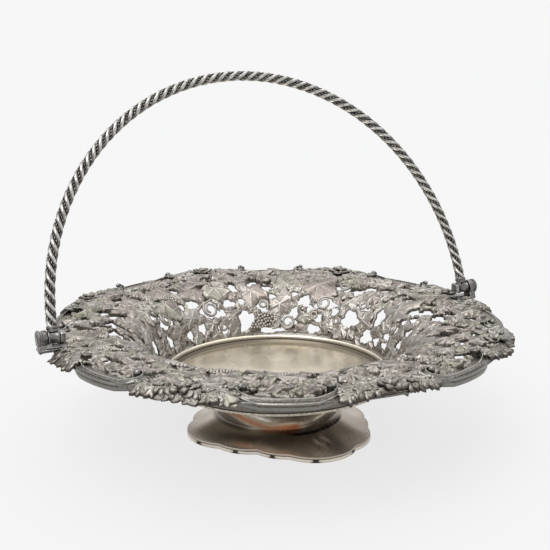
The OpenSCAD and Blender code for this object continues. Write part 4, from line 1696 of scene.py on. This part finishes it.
@dataclass
class RopeHandle:
    """The swing handle: a rope of three thick and three fine twisted strands between two eyes.

    Attributes:
        hinge_z: Height of the hinge line.
        eye_x: Distance of each eye's middle from the centre.
        rise: Rise of the rope's middle above the hinge line.
        lean: Lean of the handle as it stands.
        neck_h: Height of the rope's ends above the hinge line.
        strand_r: Radius of a thick strand.
        strand_lay: Distance of the thick strands from the rope's middle.
        fine_r: Radius of one of the two wires in a fine strand.
        fine_lay: Distance of the fine strands from the rope's middle.
        fine_pitch: Length of one turn of the two wires about each other.
        pitch: Length of one turn of the rope.
        count: Thick strands, and as many fine ones.
        strand_steps: Rings along a thick strand.
        fine_steps: Rings along a wire of a fine strand.
        bright_from: Share of the rope's radius from which it is bright, with rubbed wear and a painted
            highlight.
        rubbed: Brightness of the rope's outside, from rubbed wear and a painted highlight.
        eye_r: Radius of an eye's barrel.
        eye_half: Half the length of the barrel.
        bore_r: Radius of its bore.
    """

    hinge_z: float = 80.0
    eye_x: float = 147.6
    rise: float = 162.0
    lean: float = 22.0
    neck_h: float = 6.0
    strand_r: float = 1.5
    strand_lay: float = 1.96
    fine_r: float = 0.4
    fine_lay: float = 2.45
    fine_pitch: float = 3.4
    pitch: float = 22.0
    count: int = 3
    strand_steps: int = 440
    fine_steps: int = 1150
    bright_from: float = 0.79
    rubbed: float = 0.92
    eye_r: float = 4.2
    eye_half: float = 3.7
    bore_r: float = 2.05

    def build(self, finish: bpy.types.Material, eye_finish: bpy.types.Material) -> list[bpy.types.Object]:
        """Makes the strands and the two eyes.

        Args:
            finish: Material of the rope.
            eye_finish: Material of the eyes.

        Returns:
            The handle's pieces.
        """
        made = []
        for i in range(1, self.count + 1):
            thick, fine = Gathering(), Gathering()
            line = self._line(self.strand_steps, self.strand_lay, 360 * i / self.count)
            thick.add(self._wire(line, self.strand_r, 12))
            for half in (0, 180):
                fine.add(self._wire(self._pair(360 * (i + 0.5) / self.count, half), self.fine_r, 6))
            for gathered, node in ((thick, f"handle_strand_{i}"), (fine, f"handle_fine_strand_{i}")):
                piece = gathered.to_object(f"{node}_work", finish)
                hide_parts(node)
                made.append(piece)
        for side, name in ((-1, "left"), (1, "right")):
            gathered = Gathering()
            for shell in self._eye(side):
                gathered.add(self._leaned(shell))
            piece = gathered.to_object(f"handle_eye_{name}_work", eye_finish, 40)
            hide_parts(f"handle_eye_{name}")
            made.append(piece)
        for piece in made:
            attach(piece, HANDLE)
        return made

    def _wire(self, path: np.ndarray, radius: float, sides: int) -> Shell:
        """Sweeps one wire of the rope, dark with tarnish and painted shade where it faces the rope's middle,
        and bright outside with rubbed wear and a painted highlight.

        Args:
            path: Middle of the wire.
            radius: Radius of the wire.
            sides: Sides of its section.

        Returns:
            The wire, in the part's frame.
        """
        shell = tube(path, radius, sides)
        middle = self._arch(len(path))[0].repeat(sides, 0)
        away = np.linalg.norm(shell.points - middle, axis=1) / (self.strand_lay + self.strand_r)
        # Painted shade towards the rope's middle, and a painted highlight with rubbed wear on its outside
        shell.wear_and_shading[:] = np.clip((away - self.bright_from) / (1 - self.bright_from), 0, 1) * self.rubbed
        return self._leaned(shell)

    def _leaned(self, shell: Shell) -> Shell:
        """Leans a piece that stands over the hinge line, and lifts it there."""
        return shell.turned(-self.lean, 0).moved((0, 0, self.hinge_z))

    def _arch(self, count: int) -> tuple[np.ndarray, np.ndarray, np.ndarray, np.ndarray]:
        """Gives points along the rope's middle, its direction, its side and the length run so far.

        Args:
            count: Number of points.

        Returns:
            The four, with one row for each point.
        """
        t = np.linspace(0, math.pi, count)
        tall = self.rise - self.neck_h
        path = np.stack([-self.eye_x * np.cos(t), 0 * t, self.neck_h + tall * np.sin(t)], 1)
        ahead = np.stack([self.eye_x * np.sin(t), 0 * t, tall * np.cos(t)], 1)
        ahead /= np.linalg.norm(ahead, axis=1, keepdims=True)
        side = np.stack([ahead[:, 2], 0 * t, -ahead[:, 0]], 1)
        run = np.concatenate([[0], np.cumsum(np.linalg.norm(np.diff(path, axis=0), axis=1))])
        return path, ahead, side, run

    def _line(self, count: int, lay: float, phase: float) -> np.ndarray:
        """Gives the middle of one strand, which winds left-handed about the rope's middle.

        Args:
            count: Number of points.
            lay: Distance from the rope's middle.
            phase: Angle at which it starts.

        Returns:
            Points along the strand.
        """
        path, _, side, run = self._arch(count)
        a = math.radians(phase) - 2 * math.pi * run / self.pitch
        across = np.array([0.0, 1.0, 0.0])
        return path + lay * (np.cos(a)[:, None] * side + np.outer(np.sin(a), across))

    def _pair(self, phase: float, half: float) -> np.ndarray:
        """Gives the middle of one wire of a fine strand.

        Args:
            phase: Angle at which the strand starts.
            half: Angle at which the wire starts about the strand.

        Returns:
            Points along the wire.
        """
        path, ahead, _, run = self._arch(self.fine_steps)
        line = self._line(self.fine_steps, self.fine_lay, phase)
        out = line - path
        out /= np.linalg.norm(out, axis=1, keepdims=True)
        over = np.cross(ahead, out)
        a = math.radians(half) + 2 * math.pi * run / self.fine_pitch
        return line + self.fine_r * (np.cos(a)[:, None] * out + np.sin(a)[:, None] * over)

    def _eye(self, side: int) -> list[Shell]:
        """Makes one eye: a ringed barrel across the pin and a flared neck for the rope.

        Args:
            side: -1 for the left eye, 1 for the right one.

        Returns:
            The barrel and the neck.
        """
        half, r = self.eye_half, self.eye_r
        rings = [
            (self.bore_r, half), (r - 0.7, half), (r - 0.2, half - 0.3), (r, half - 0.9),
            (r - 0.5, half - 1.5)]
        barrel = np.array([*((away, -along) for away, along in rings), *rings[::-1]])
        neck = np.array([
            (0.05, 3.0), (3.1, 3.0), (3.4, 3.8), (3.3, 4.6), (3.75, 5.2), (3.75, 6.2), (3.5, 6.8),
            (0.05, 6.8)])
        shells = (lathe(barrel, 40).turned(90, 1), lathe(neck, 32))
        return [shell.moved((side * self.eye_x, 0, 0)) for shell in shells]


@dataclass
class Hinges:
    """The ears, pins and nuts on which the handle swings.

    Attributes:
        hinge_z: Height of the hinge line.
        land_z: Height of the rim's land.
        knuckle_r: Radius of an ear's round knuckle.
        nut_w: Width of a nut across its flats.
        pin_r: Radius of a pin.
    """

    hinge_z: float = 80.0
    land_z: float = 72.0
    knuckle_r: float = 5.1
    nut_w: float = 6.2
    pin_r: float = 2.0

    def build(self, finish: bpy.types.Material) -> list[bpy.types.Object]:
        """Makes both hinges from the boxes of their solids.

        Args:
            finish: Material of the hinges.

        Returns:
            The ears, nuts and pins.
        """
        made = []
        for name, side in (("left", -1), ("right", 1)):
            for kind, maker in (("hinge_ear", self._ear), ("hinge_nut", self._nut), ("hinge_pin", self._pin)):
                low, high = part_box(f"{kind}_{name}")
                near, far = sorted((abs(low.x) / MM, abs(high.x) / MM))
                gathered = Gathering()
                for shell in maker(near, far):
                    gathered.add(shell if side > 0 else shell.turned(180), 0.5)
                piece = gathered.to_object(f"{kind}_{name}_work", finish, 40)
                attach(piece, BASKET)
                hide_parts(f"{kind}_{name}")
                made.append(piece)
        return made

    def _along(self, profile: Sequence[tuple[float, float]], steps: int = 40) -> Shell:
        """Turns a profile of radius and place along +X about the hinge line."""
        return lathe(np.array(profile), steps).turned(90, 1).moved((0, 0, self.hinge_z))

    def _ear(self, near: float, far: float) -> list[Shell]:
        """Makes an ear: a ringed knuckle on a waisted bracket, with a base on the rim.

        Args:
            near: Inner end of the base.
            far: Outer face of the knuckle.

        Returns:
            Knuckle, bracket, base and beads.
        """
        r, inner = self.knuckle_r, far - 6.1
        knuckle = self._along([
            (0.02, inner), (r - 0.6, inner), (r - 0.2, inner + 0.5), (r - 0.2, inner + 2.6),
            (r - 0.7, inner + 3.1), (r - 0.7, far - 2.2), (r, far - 1.7), (r, far - 0.5),
            (r - 0.5, far - 0.05), (r - 1.3, far - 0.1), (r - 1.6, far - 0.8), (1.6, far - 0.9),
            (1.2, far - 0.3), (0.02, far - 0.2)])
        wide = np.array([
            (-4.6, -8.0), (4.6, -8.0), (4.2, -5.2), (3.4, -3.4), (3.2, 0.0), (-3.2, 0.0), (-3.4, -3.4),
            (-4.2, -5.2)])
        bracket = plate(wide, 4.6, 0.7).turned(90, 0).turned(90, 2).moved((inner + 0.7, 0, self.hinge_z))
        seat = np.array([
            (near + 0.2, -4.7), (far - 2.4, -4.7), (far - 0.4, -2.6), (far - 0.4, 2.6), (far - 2.4, 4.7),
            (near + 0.2, 4.7)])
        base = plate(seat, 1.9, 0.5).moved((0, 0, self.land_z + 0.02))
        beads = [ball(1.35).moved((far - 1.6, y, self.land_z + 0.6)) for y in (-3.4, 0.0, 3.4)]
        return [knuckle, bracket, base, *beads]

    def _nut(self, near: float, far: float) -> list[Shell]:
        """Makes a square nut with worn corners between two places along the hinge line.

        Args:
            near: Its inner face.
            far: Its outer face.

        Returns:
            The nut.
        """
        h = self.nut_w / 2
        cut = h - 0.6
        square = np.array([
            (h, -cut), (h, cut), (cut, h), (-cut, h), (-h, cut), (-h, -cut), (-cut, -h), (cut, -h)])
        return [plate(square, far - near, 0.4, 0.7).turned(90, 1).moved((near, 0, self.hinge_z))]

    def _pin(self, near: float, far: float) -> list[Shell]:
        """Makes a pin with a domed end towards the dish.

        Args:
            near: Its domed end.
            far: Its outer end.

        Returns:
            The pin.
        """
        r = self.pin_r - 0.02
        profile = [
            (0.02, near), (r * 0.6, near + 0.1), (r * 0.95, near + 0.5), (r, near + 1.0), (r, far),
            (0.02, far)]
        return [self._along(profile, 28)]


# Finishes


class Board:
    """A node tree with short ways to add and join nodes."""

    def __init__(self, tree: bpy.types.NodeTree) -> None:
        """Takes over a tree and empties it."""
        self.tree = tree
        tree.nodes.clear()

    def add(self, kind: str, **settings: object) -> bpy.types.Node:
        """Adds a node.

        Args:
            kind: Blender's name for the node type, without ShaderNode.
            settings: Properties of the node.

        Returns:
            The node.
        """
        node = self.tree.nodes.new(kind if kind.startswith("NodeGroup") else f"ShaderNode{kind}")
        for key, value in settings.items():
            setattr(node, key, value)
        return node

    def join(self, source: Socket, target: Socket) -> None:
        """Links one socket to another."""
        self.tree.links.new(source, target)

    def feed(self, target: Socket, value: object) -> None:
        """Links or sets a socket, whichever the value calls for.

        Args:
            target: The socket.
            value: Another socket, or the value to set.
        """
        if isinstance(value, Socket):
            self.join(value, target)
        else:
            target.default_value = value

    def math(self, operation: str, a: object, b: object = 0.0, clamp: bool = False) -> Socket:
        """Adds a sum of two values and gives its result.

        Args:
            operation: Blender's name for the sum.
            a: First value or socket.
            b: Second value or socket.
            clamp: Whether the result is kept between 0 and 1.

        Returns:
            The result.
        """
        node = self.add("Math", operation=operation, use_clamp=clamp)
        self.feed(node.inputs[0], a)
        self.feed(node.inputs[1], b)
        return node.outputs[0]

    def ramp(
        self, value: object, low: float, high: float, to_low: float = 0.0, to_high: float = 1.0
    ) -> Socket:
        """Maps a value smoothly from one range to another, clamped.

        Args:
            value: Value or socket.
            low: Low end of its range.
            high: High end of its range.
            to_low: What the low end becomes.
            to_high: What the high end becomes.

        Returns:
            The mapped value.
        """
        node = self.add("MapRange", interpolation_type="SMOOTHSTEP", clamp=True)
        for socket, number in zip(node.inputs[:5], (value, low, high, to_low, to_high)):
            self.feed(socket, number)
        return node.outputs[0]

    def mix(self, share: object, a: object, b: object) -> Socket:
        """Mixes two colours and gives the result.

        Args:
            share: Share of the second colour.
            a: First colour or socket.
            b: Second colour or socket.

        Returns:
            The mixed colour.
        """
        node = self.add("Mix", data_type="RGBA")
        self.feed(node.inputs["Factor"], share)
        for key, value in ((6, a), (7, b)):
            self.feed(node.inputs[key], (*value, 1.0) if isinstance(value, tuple) else value)
        return node.outputs[2]

    def noise(self, where: object, scale: object, detail: float, rough: float) -> Socket:
        """Adds a noise texture and gives its value.

        Args:
            where: Socket with the place.
            scale: Its scale, a number or a socket.
            detail: Layers of finer noise.
            rough: Weight of the finer layers.

        Returns:
            The noise, from 0 to 1.
        """
        node = self.add("TexNoise")
        for key, value in (("Vector", where), ("Scale", scale), ("Detail", detail), ("Roughness", rough)):
            self.feed(node.inputs[key], value)
        return node.outputs["Fac"]

    def place(self) -> Socket:
        """Gives the place on the object, which rides with it."""
        return self.add("TexCoord").outputs["Object"]

    def attribute(self, name: str) -> Socket:
        """Gives a value that the mesh carries."""
        return self.add("Attribute", attribute_name=name).outputs["Fac"]


class SharedGroups:
    """Node groups that more than one finish uses."""

    def __init__(self) -> None:
        """Builds the groups once."""
        self.tarnish = self._tarnish()
        self.handling = self._handling()

    @staticmethod
    def _new(
        name: str, values: dict[str, float], results: Sequence[str]
    ) -> tuple[Board, bpy.types.Node, bpy.types.Node]:
        """Starts a group that takes a place and some values.

        Args:
            name: Name of the group.
            values: Name and default of each value that it takes.
            results: Names of the values that it gives.

        Returns:
            Its board, and its input and output nodes.
        """
        tree = bpy.data.node_groups.new(name, "ShaderNodeTree")
        tree.interface.new_socket("Place", in_out="INPUT", socket_type="NodeSocketVector")
        for label, value in values.items():
            socket = tree.interface.new_socket(label, in_out="INPUT", socket_type="NodeSocketFloat")
            socket.default_value = value
        for label in results:
            tree.interface.new_socket(label, in_out="OUTPUT", socket_type="NodeSocketFloat")
        board = Board(tree)
        return board, board.add("NodeGroupInput"), board.add("NodeGroupOutput")

    def _tarnish(self) -> bpy.types.NodeTree:
        """Builds tarnish and painted shading: dark in the recesses with tarnish and painted shade, in clouds
        on the open metal, and bright on the ridges with rubbed wear and painted highlights.

        Returns:
            The group.
        """
        board, into, out = self._new(
            "tarnish", {"Wear And Shading": 0.5, "Cloud Scale": 60.0, "Grain": 0.9}, ("Recess", "Cloud", "Rubbed And Highlit"))
        place, wear_and_shading = into.outputs["Place"], into.outputs["Wear And Shading"]
        cloud = board.noise(place, into.outputs["Cloud Scale"], 4.0, 0.5)
        grain = board.math("SUBTRACT", board.noise(place, 620.0, 3.0, 0.65), 0.5)
        level = board.math("ADD", wear_and_shading, board.math("MULTIPLY", grain, into.outputs["Grain"]))
        board.join(board.ramp(level, 0.08, 0.42, 1.0, 0.0), out.inputs["Recess"])
        board.join(board.ramp(cloud, 0.35, 0.68), out.inputs["Cloud"])
        board.join(board.ramp(level, 0.6, 1.0), out.inputs["Rubbed And Highlit"])
        return board.tree

    def _handling(self) -> bpy.types.NodeTree:
        """Builds handling marks: fine scratches and a soft haze, as a height and a gloss.

        Returns:
            The group.
        """
        board, into, out = self._new("handling_marks", {}, ("Height", "Haze"))
        place = into.outputs["Place"]
        stretched = board.add("Mapping")
        board.join(place, stretched.inputs["Vector"])
        stretched.inputs["Scale"].default_value = (1.0, 9.0, 4.0)
        scratch = board.noise(stretched.outputs["Vector"], 420.0, 2.0, 0.5)
        haze = board.noise(place, 38.0, 2.0, 0.5)
        pitted = board.noise(place, 760.0, 3.0, 0.6)
        board.join(board.math("ADD", scratch, pitted), out.inputs["Height"])
        board.join(board.ramp(haze, 0.3, 0.7), out.inputs["Haze"])
        return board.tree


@dataclass(frozen=True)
class SilverFinish:
    """One aged silver finish.

    Attributes:
        name: Name of the material.
        bright: Colour of rubbed metal and of painted highlights.
        plain: Colour of the open metal.
        clouded: Colour of the open metal under tarnish.
        recess: Colour of tarnish in the grooves and of painted shade.
        first_tint: Colour of pieces with a low tint.
        second_tint: Colour of pieces with a high tint.
        rough: Least and most roughness.
        cloud_scale: Scale of the tarnish clouds.
        bump: Strength of the fine marks.
        grain: How much the tarnish is broken up.
    """

    name: str
    bright: Color
    plain: Color
    clouded: Color
    recess: Color
    first_tint: Color
    second_tint: Color
    rough: tuple[float, float]
    cloud_scale: float
    bump: float
    grain: float = 0.9

    def make(self, groups: SharedGroups) -> bpy.types.Material:
        """Builds the material.

        Args:
            groups: The shared node groups.

        Returns:
            The material.
        """
        material = bpy.data.materials.new(self.name)
        material.use_nodes = True
        board = Board(material.node_tree)
        where = board.place()
        tarnish = board.add("Group", node_tree=groups.tarnish)
        board.join(where, tarnish.inputs["Place"])
        board.join(board.attribute("wear_and_shading"), tarnish.inputs["Wear And Shading"])
        tarnish.inputs["Cloud Scale"].default_value = self.cloud_scale
        tarnish.inputs["Grain"].default_value = self.grain
        marks = board.add("Group", node_tree=groups.handling)
        board.join(where, marks.inputs["Place"])
        haze, recess = marks.outputs["Haze"], tarnish.outputs["Recess"]
        tint = board.attribute("tint")
        shade = board.mix(board.ramp(tint, 0.0, 0.45), self.first_tint, self.plain)
        shade = board.mix(board.ramp(tint, 0.55, 1.0), shade, self.second_tint)
        shade = board.mix(board.math("MULTIPLY", tarnish.outputs["Cloud"], CLOUD_SHARE), shade, self.clouded)
        shade = board.mix(recess, shade, self.recess)
        shade = board.mix(board.math("MULTIPLY", tarnish.outputs["Rubbed And Highlit"], RUBBED_AND_HIGHLIT_SHARE), shade, self.bright)
        shader = board.add("BsdfPrincipled")
        shader.inputs["Metallic"].default_value = 1.0
        board.join(shade, shader.inputs["Base Color"])
        dull = [board.math("MULTIPLY", part, 0.5) for part in (haze, recess)]
        gloss = board.math("ADD", *dull, True)
        board.join(board.ramp(gloss, 0.0, 1.0, *self.rough), shader.inputs["Roughness"])
        bump = board.add("Bump")
        bump.inputs["Strength"].default_value = self.bump
        bump.inputs["Distance"].default_value = MARK_DEPTH
        board.join(marks.outputs["Height"], bump.inputs["Height"])
        board.join(bump.outputs["Normal"], shader.inputs["Normal"])
        output = board.add("OutputMaterial")
        board.join(shader.outputs["BSDF"], output.inputs["Surface"])
        return material


# How far clouds, and rubbed ridges with painted highlights, cover the colour below, and the depth of the fine
# marks in metres
CLOUD_SHARE = 0.7
RUBBED_AND_HIGHLIT_SHARE = 0.75
MARK_DEPTH = 0.0004

VINE_SILVER = SilverFinish(
    "vine_silver", (0.66, 0.635, 0.59), (0.36, 0.338, 0.31), (0.26, 0.234, 0.208), (0.12, 0.107, 0.092),
    (0.25, 0.21, 0.194), (0.235, 0.233, 0.18), (0.28, 0.48), 55.0, 0.16, 0.45)
BORDER_SILVER = SilverFinish(
    "border_silver", (0.66, 0.64, 0.60), (0.31, 0.297, 0.272), (0.22, 0.206, 0.178), (0.075, 0.067, 0.058),
    (0.22, 0.213, 0.2), (0.2, 0.19, 0.158), (0.24, 0.42), 45.0, 0.14, 0.45)
# Its nearly black first tint is painted shade on the well plate's step, lip and underside
WELL_SILVER = SilverFinish(
    "well_silver", (0.95, 0.9, 0.81), (0.94, 0.87, 0.74), (0.84, 0.76, 0.62), (0.17, 0.145, 0.11),
    (0.07, 0.06, 0.05), (0.6, 0.57, 0.45), (0.24, 0.38), 14.0, 0.05, 0.3)
# Its dark brown first tint is painted shade on the collar, on the foot above the solder line and on the
# undersides
FOOT_SILVER = SilverFinish(
    "foot_silver", (0.9, 0.86, 0.8), (0.62, 0.55, 0.47), (0.4, 0.345, 0.29), (0.05, 0.042, 0.034),
    (0.15, 0.128, 0.107), (0.72, 0.32, 0.17), (0.24, 0.4), 34.0, 0.1, 0.2)
# Its nearly black recess colour is painted shade between the strands, with tarnish
ROPE_SILVER = SilverFinish(
    "rope_silver", (0.82, 0.81, 0.78), (0.27, 0.258, 0.24), (0.17, 0.16, 0.145), (0.022, 0.02, 0.018),
    (0.24, 0.21, 0.19), (0.22, 0.22, 0.19), (0.2, 0.36), 70.0, 0.12)
HINGE_SILVER = SilverFinish(
    "hinge_silver", (0.6, 0.58, 0.56), (0.2, 0.19, 0.185), (0.12, 0.115, 0.11), (0.03, 0.028, 0.026),
    (0.2, 0.18, 0.16), (0.2, 0.2, 0.17), (0.22, 0.38), 60.0, 0.12)


# Studio


@dataclass
class Studio:
    """Camera, floor and light of the picture.

    Attributes:
        eye: Place of the camera, in millimetres.
        azimuth: Direction from which it looks.
        pitch: How far it looks down.
        lens: Focal length.
        paper: Brightness of the white background.
        ambient: Colour of the soft light from all round.
        ambient_power: Strength of that light.
        floor_grey: Brightness of the floor under the lamps.
        floor_paper: How far the floor looks like the background.
        floor_half: Half the width of the floor, in metres.
    """

    eye: tuple[float, float, float] = (-253.04, -549.6, 248.73)
    azimuth: float = -24.6
    pitch: float = 13.48
    lens: float = 62.01
    paper: float = 0.93
    ambient: Color = (0.9, 0.92, 0.95)
    ambient_power: float = 0.5
    floor_grey: float = 0.82
    floor_paper: float = 0.82
    floor_half: float = 30.0

    def build(self) -> None:
        """Sets up the whole studio."""
        self._camera()
        self._world()
        self._floor()
        self._lamp("key_light", (-0.55, -0.35, 1.0), 50.0, 1.3)
        self._lamp("top_light", (0.15, 0.25, 1.0), 70.0, 1.0)
        bpy.context.scene.view_settings.view_transform = "Standard"

    def _camera(self) -> None:
        """Places the camera where the photograph was taken from."""
        a, e = math.radians(self.azimuth), math.radians(self.pitch)
        back = Vector((math.sin(a) * math.cos(e), -math.cos(a) * math.cos(e), math.sin(e)))
        data = bpy.data.cameras.new("camera")
        data.lens = self.lens
        data.sensor_width = 36.0
        data.clip_start, data.clip_end = 0.01, 50.0
        camera = bpy.data.objects.new("camera", data)
        camera.location = Vector(self.eye) * MM
        camera.rotation_mode = "QUATERNION"
        camera.rotation_quaternion = (-back).to_track_quat("-Z", "Y")
        bpy.context.scene.collection.objects.link(camera)
        bpy.context.scene.camera = camera

    def _world(self) -> None:
        """Makes the paper-white background, which metal mirrors, and a softer ambient light."""
        world = bpy.data.worlds.new("studio")
        bpy.context.scene.world = world
        world.use_nodes = True
        board = Board(world.node_tree)
        seen = self._seen(board, "Camera", "Glossy", "Transmission")
        paper = board.add("Background")
        paper.inputs["Color"].default_value = self._grey(self.paper)
        ambient = board.add("Background")
        ambient.inputs["Color"].default_value = (*self.ambient, 1.0)
        ambient.inputs["Strength"].default_value = self.ambient_power
        self._blend(board, seen, ambient, paper, "OutputWorld")

    def _floor(self) -> None:
        """Lays the pale floor, which keeps the basket's shadow."""
        mesh = bpy.data.meshes.new("floor")
        half = self.floor_half
        corners = [(x * half, y * half, 0) for x, y in ((-1, -1), (1, -1), (1, 1), (-1, 1))]
        mesh.from_pydata(corners, [], [(0, 1, 2, 3)])
        floor = bpy.data.objects.new("floor", mesh)
        bpy.context.scene.collection.objects.link(floor)
        material = bpy.data.materials.new("pale_floor")
        material.use_nodes = True
        board = Board(material.node_tree)
        seen = self._seen(board, "Camera", "Glossy")
        matt = board.add("BsdfDiffuse")
        matt.inputs["Color"].default_value = self._grey(self.floor_grey)
        paper = board.add("Emission")
        paper.inputs["Color"].default_value = self._grey(self.paper)
        share = board.math("MULTIPLY", seen, self.floor_paper)
        self._blend(board, share, matt, paper, "OutputMaterial")
        mesh.materials.append(material)

    @staticmethod
    def _grey(value: float) -> tuple[float, float, float, float]:
        """Gives a neutral colour of one brightness."""
        return (value, value, value, 1.0)

    @staticmethod
    def _seen(board: Board, first: str, *others: str) -> Socket:
        """Gives 1 for rays of the named kinds and 0 for all others.

        Args:
            board: Board of the shader.
            first: First kind of ray.
            others: Further kinds of ray.

        Returns:
            The socket with that value.
        """
        path = board.add("LightPath")
        seen = path.outputs[f"Is {first} Ray"]
        for kind in others:
            seen = board.math("MAXIMUM", seen, path.outputs[f"Is {kind} Ray"])
        return seen

    @staticmethod
    def _blend(board: Board, share: Socket, low: bpy.types.Node, high: bpy.types.Node, output: str) -> None:
        """Mixes two shaders and sends the result to the output.

        Args:
            board: Board of both shaders.
            share: Share of the second shader.
            low: First shader.
            high: Second shader.
            output: Kind of the output node.
        """
        blend = board.add("MixShader")
        for target, source in zip(blend.inputs, (share, low.outputs[0], high.outputs[0])):
            board.join(source, target)
        board.join(blend.outputs[0], board.add(output).inputs["Surface"])

    @staticmethod
    def _lamp(name: str, toward: tuple[float, float, float], spread: float, power: float) -> None:
        """Hangs one large, far light.

        Args:
            name: Name of the lamp.
            toward: Direction from the basket to the lamp.
            spread: How wide it looks from the basket, in degrees.
            power: Strength in watts for each square metre.
        """
        data = bpy.data.lights.new(name, "SUN")
        data.angle = math.radians(spread)
        data.energy = power
        lamp = bpy.data.objects.new(name, data)
        lamp.rotation_mode = "QUATERNION"
        lamp.rotation_quaternion = (-Vector(toward)).to_track_quat("-Z", "Y")
        bpy.context.scene.collection.objects.link(lamp)


def main() -> None:
    """Builds the basket's looks and the studio."""
    logging.basicConfig(level=logging.INFO)
    flange_low, flange_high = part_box("pierced_flange")
    bead_low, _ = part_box("well_bead")
    section = DishSection(rim_z=flange_high.z / MM, land_r=flange_high.x / MM, lip_z=bead_low.z / MM)
    groups = SharedGroups()
    vine, border, well, foot, rope, hinge = (
        finish.make(groups)
        for finish in (VINE_SILVER, BORDER_SILVER, WELL_SILVER, FOOT_SILVER, ROPE_SILVER, HINGE_SILVER)
    )
    pieces = PiercedFlange(section).build(vine)
    pieces += Well(inner_r=section.lip_r - section.lip_w, rim_z=flange_low.z / MM).build(well)
    pieces += RimBorder(section).build(border)
    pieces += Foot(top_z=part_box("foot_collar")[1].z / MM).build(foot)
    pieces += RopeHandle().build(rope, hinge)
    pieces += Hinges().build(hinge)
    Studio().build()
    for piece in pieces:
        LOG.info("%s: %d faces", piece.name, len(piece.data.polygons))


if __name__ == "__main__":
    main()
